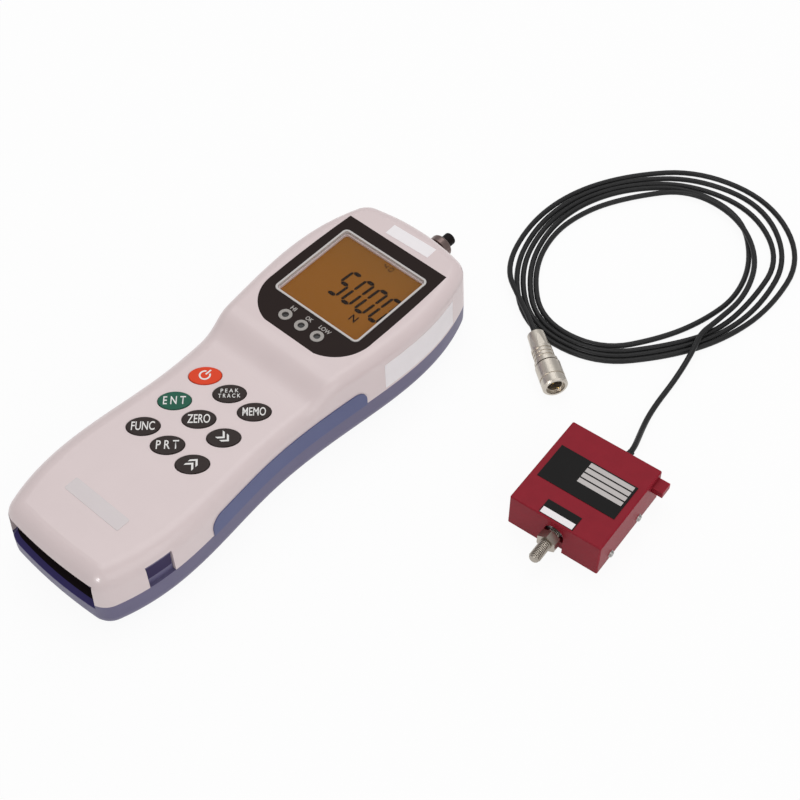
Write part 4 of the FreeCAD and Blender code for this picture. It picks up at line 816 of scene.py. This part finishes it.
def makeBoot(look):
    place = Matrix.Translation(Vector(look["place"]) * mm)
    steps = look["rings"] * look["stepsPerRing"]
    rings = []
    for k in range(steps + 1):
        share = k / steps
        wave = look["ripple"] * math.cos(2 * math.pi * share * look["rings"])
        rings.append((share * look["length"], look["wide"] + (look["narrow"] - look["wide"]) * share + wave))
    mesh = turnedBody("cableBoot", rings, look["sides"])
    mesh.transform(place @ sensorTurn @ Matrix.Rotation(math.radians(-90), 4, "X"))
    addPiece("cableBoot", mesh, "sensor", cableSkin)


makeBoot(bootLook)
print("load cell dressed")


# Floor, light and world
studioLight = {"world": 0.5, "floor": (250, 250, 250), "whiteShare": 0.93,
               "paperRough": 0.9, "paperGloss": 0.1, "reach": 4, "drop": 0.0001, "glossOnly": "cornerSoft",
               "lamps": [("topSoft", (-0.2, 0.35, 1.2), (0.05, 0.08, 0), 1.0, 4.8),
                         ("sideSoft", (1.1, -0.1, 0.75), (0.05, 0.08, 0), 0.9, 2.7),
                         ("cornerSoft", (0.26, -0.84, 0.47), (0.02, -0.1, 0.03), 0.2, 3.2)]}


def makeFloor(light):
    mesh = bpy.data.meshes.new("studioFloor")
    far, low = light["reach"], -light["drop"]
    corners = [(-far, -far, low), (far, -far, low), (far, far, low), (-far, far, low)]
    mesh.from_pydata(corners, [], [(0, 1, 2, 3)])
    paper = bpy.data.materials.new("studioPaper")
    paper.use_nodes = True
    tree = paper.node_tree
    shader = tree.nodes["Principled BSDF"]
    shader.inputs["Base Color"].default_value = tint(light["floor"])
    shader.inputs["Roughness"].default_value = light["paperRough"]
    shader.inputs["Specular IOR Level"].default_value = light["paperGloss"]
    ray = put(tree, "ShaderNodeLightPath")
    seen = put(tree, "ShaderNodeMath", {"operation": "MAXIMUM"},
               {0: ray.outputs["Is Camera Ray"], 1: ray.outputs["Is Glossy Ray"]})
    seen = put(tree, "ShaderNodeMath", {"operation": "MAXIMUM"},
               {0: seen.outputs[0], 1: ray.outputs["Is Transmission Ray"]})
    share = put(tree, "ShaderNodeMath", {"operation": "MULTIPLY"},
                {0: seen.outputs[0], 1: light["whiteShare"]})
    white = put(tree, "ShaderNodeEmission", None, {"Color": (1, 1, 1, 1), "Strength": 1.0})
    mixed = put(tree, "ShaderNodeMixShader", None,
                {0: share.outputs[0], 1: shader.outputs[0], 2: white.outputs[0]})
    tree.links.new(mixed.outputs[0], tree.nodes["Material Output"].inputs["Surface"])
    mesh.materials.append(paper)
    floor = bpy.data.objects.new("studioFloor", mesh)
    bpy.context.scene.collection.objects.link(floor)


def makeWorld(light):
    world = bpy.data.worlds.new("studioWorld")
    bpy.context.scene.world = world
    world.use_nodes = True
    tree = world.node_tree
    ray = put(tree, "ShaderNodeLightPath")
    seen = put(tree, "ShaderNodeMath", {"operation": "MAXIMUM"},
               {0: ray.outputs["Is Camera Ray"], 1: ray.outputs["Is Transmission Ray"]})
    level = put(tree, "ShaderNodeMapRange", None,
                {"Value": seen.outputs[0], "To Min": light["world"], "To Max": 1.0})
    tree.links.new(level.outputs[0], tree.nodes["Background"].inputs["Strength"])
    tree.nodes["Background"].inputs["Color"].default_value = (1, 1, 1, 1)


def makeLamps(light):  # the small one adds highlights only
    for name, place, aim, size, power in light["lamps"]:
        data = bpy.data.lights.new(name, "AREA")
        data.energy, data.size = power, size
        facing = (Vector(place) - Vector(aim)).to_track_quat("Z", "Y").to_matrix().to_4x4()
        lamp = bpy.data.objects.new(name, data)
        lamp.matrix_world = Matrix.Translation(place) @ facing
        lamp.visible_diffuse = name != light["glossOnly"]
        bpy.context.scene.collection.objects.link(lamp)


makeFloor(studioLight)
makeWorld(studioLight)
makeLamps(studioLight)
bpy.context.scene.view_settings.view_transform = "Standard"
print("studio ready")
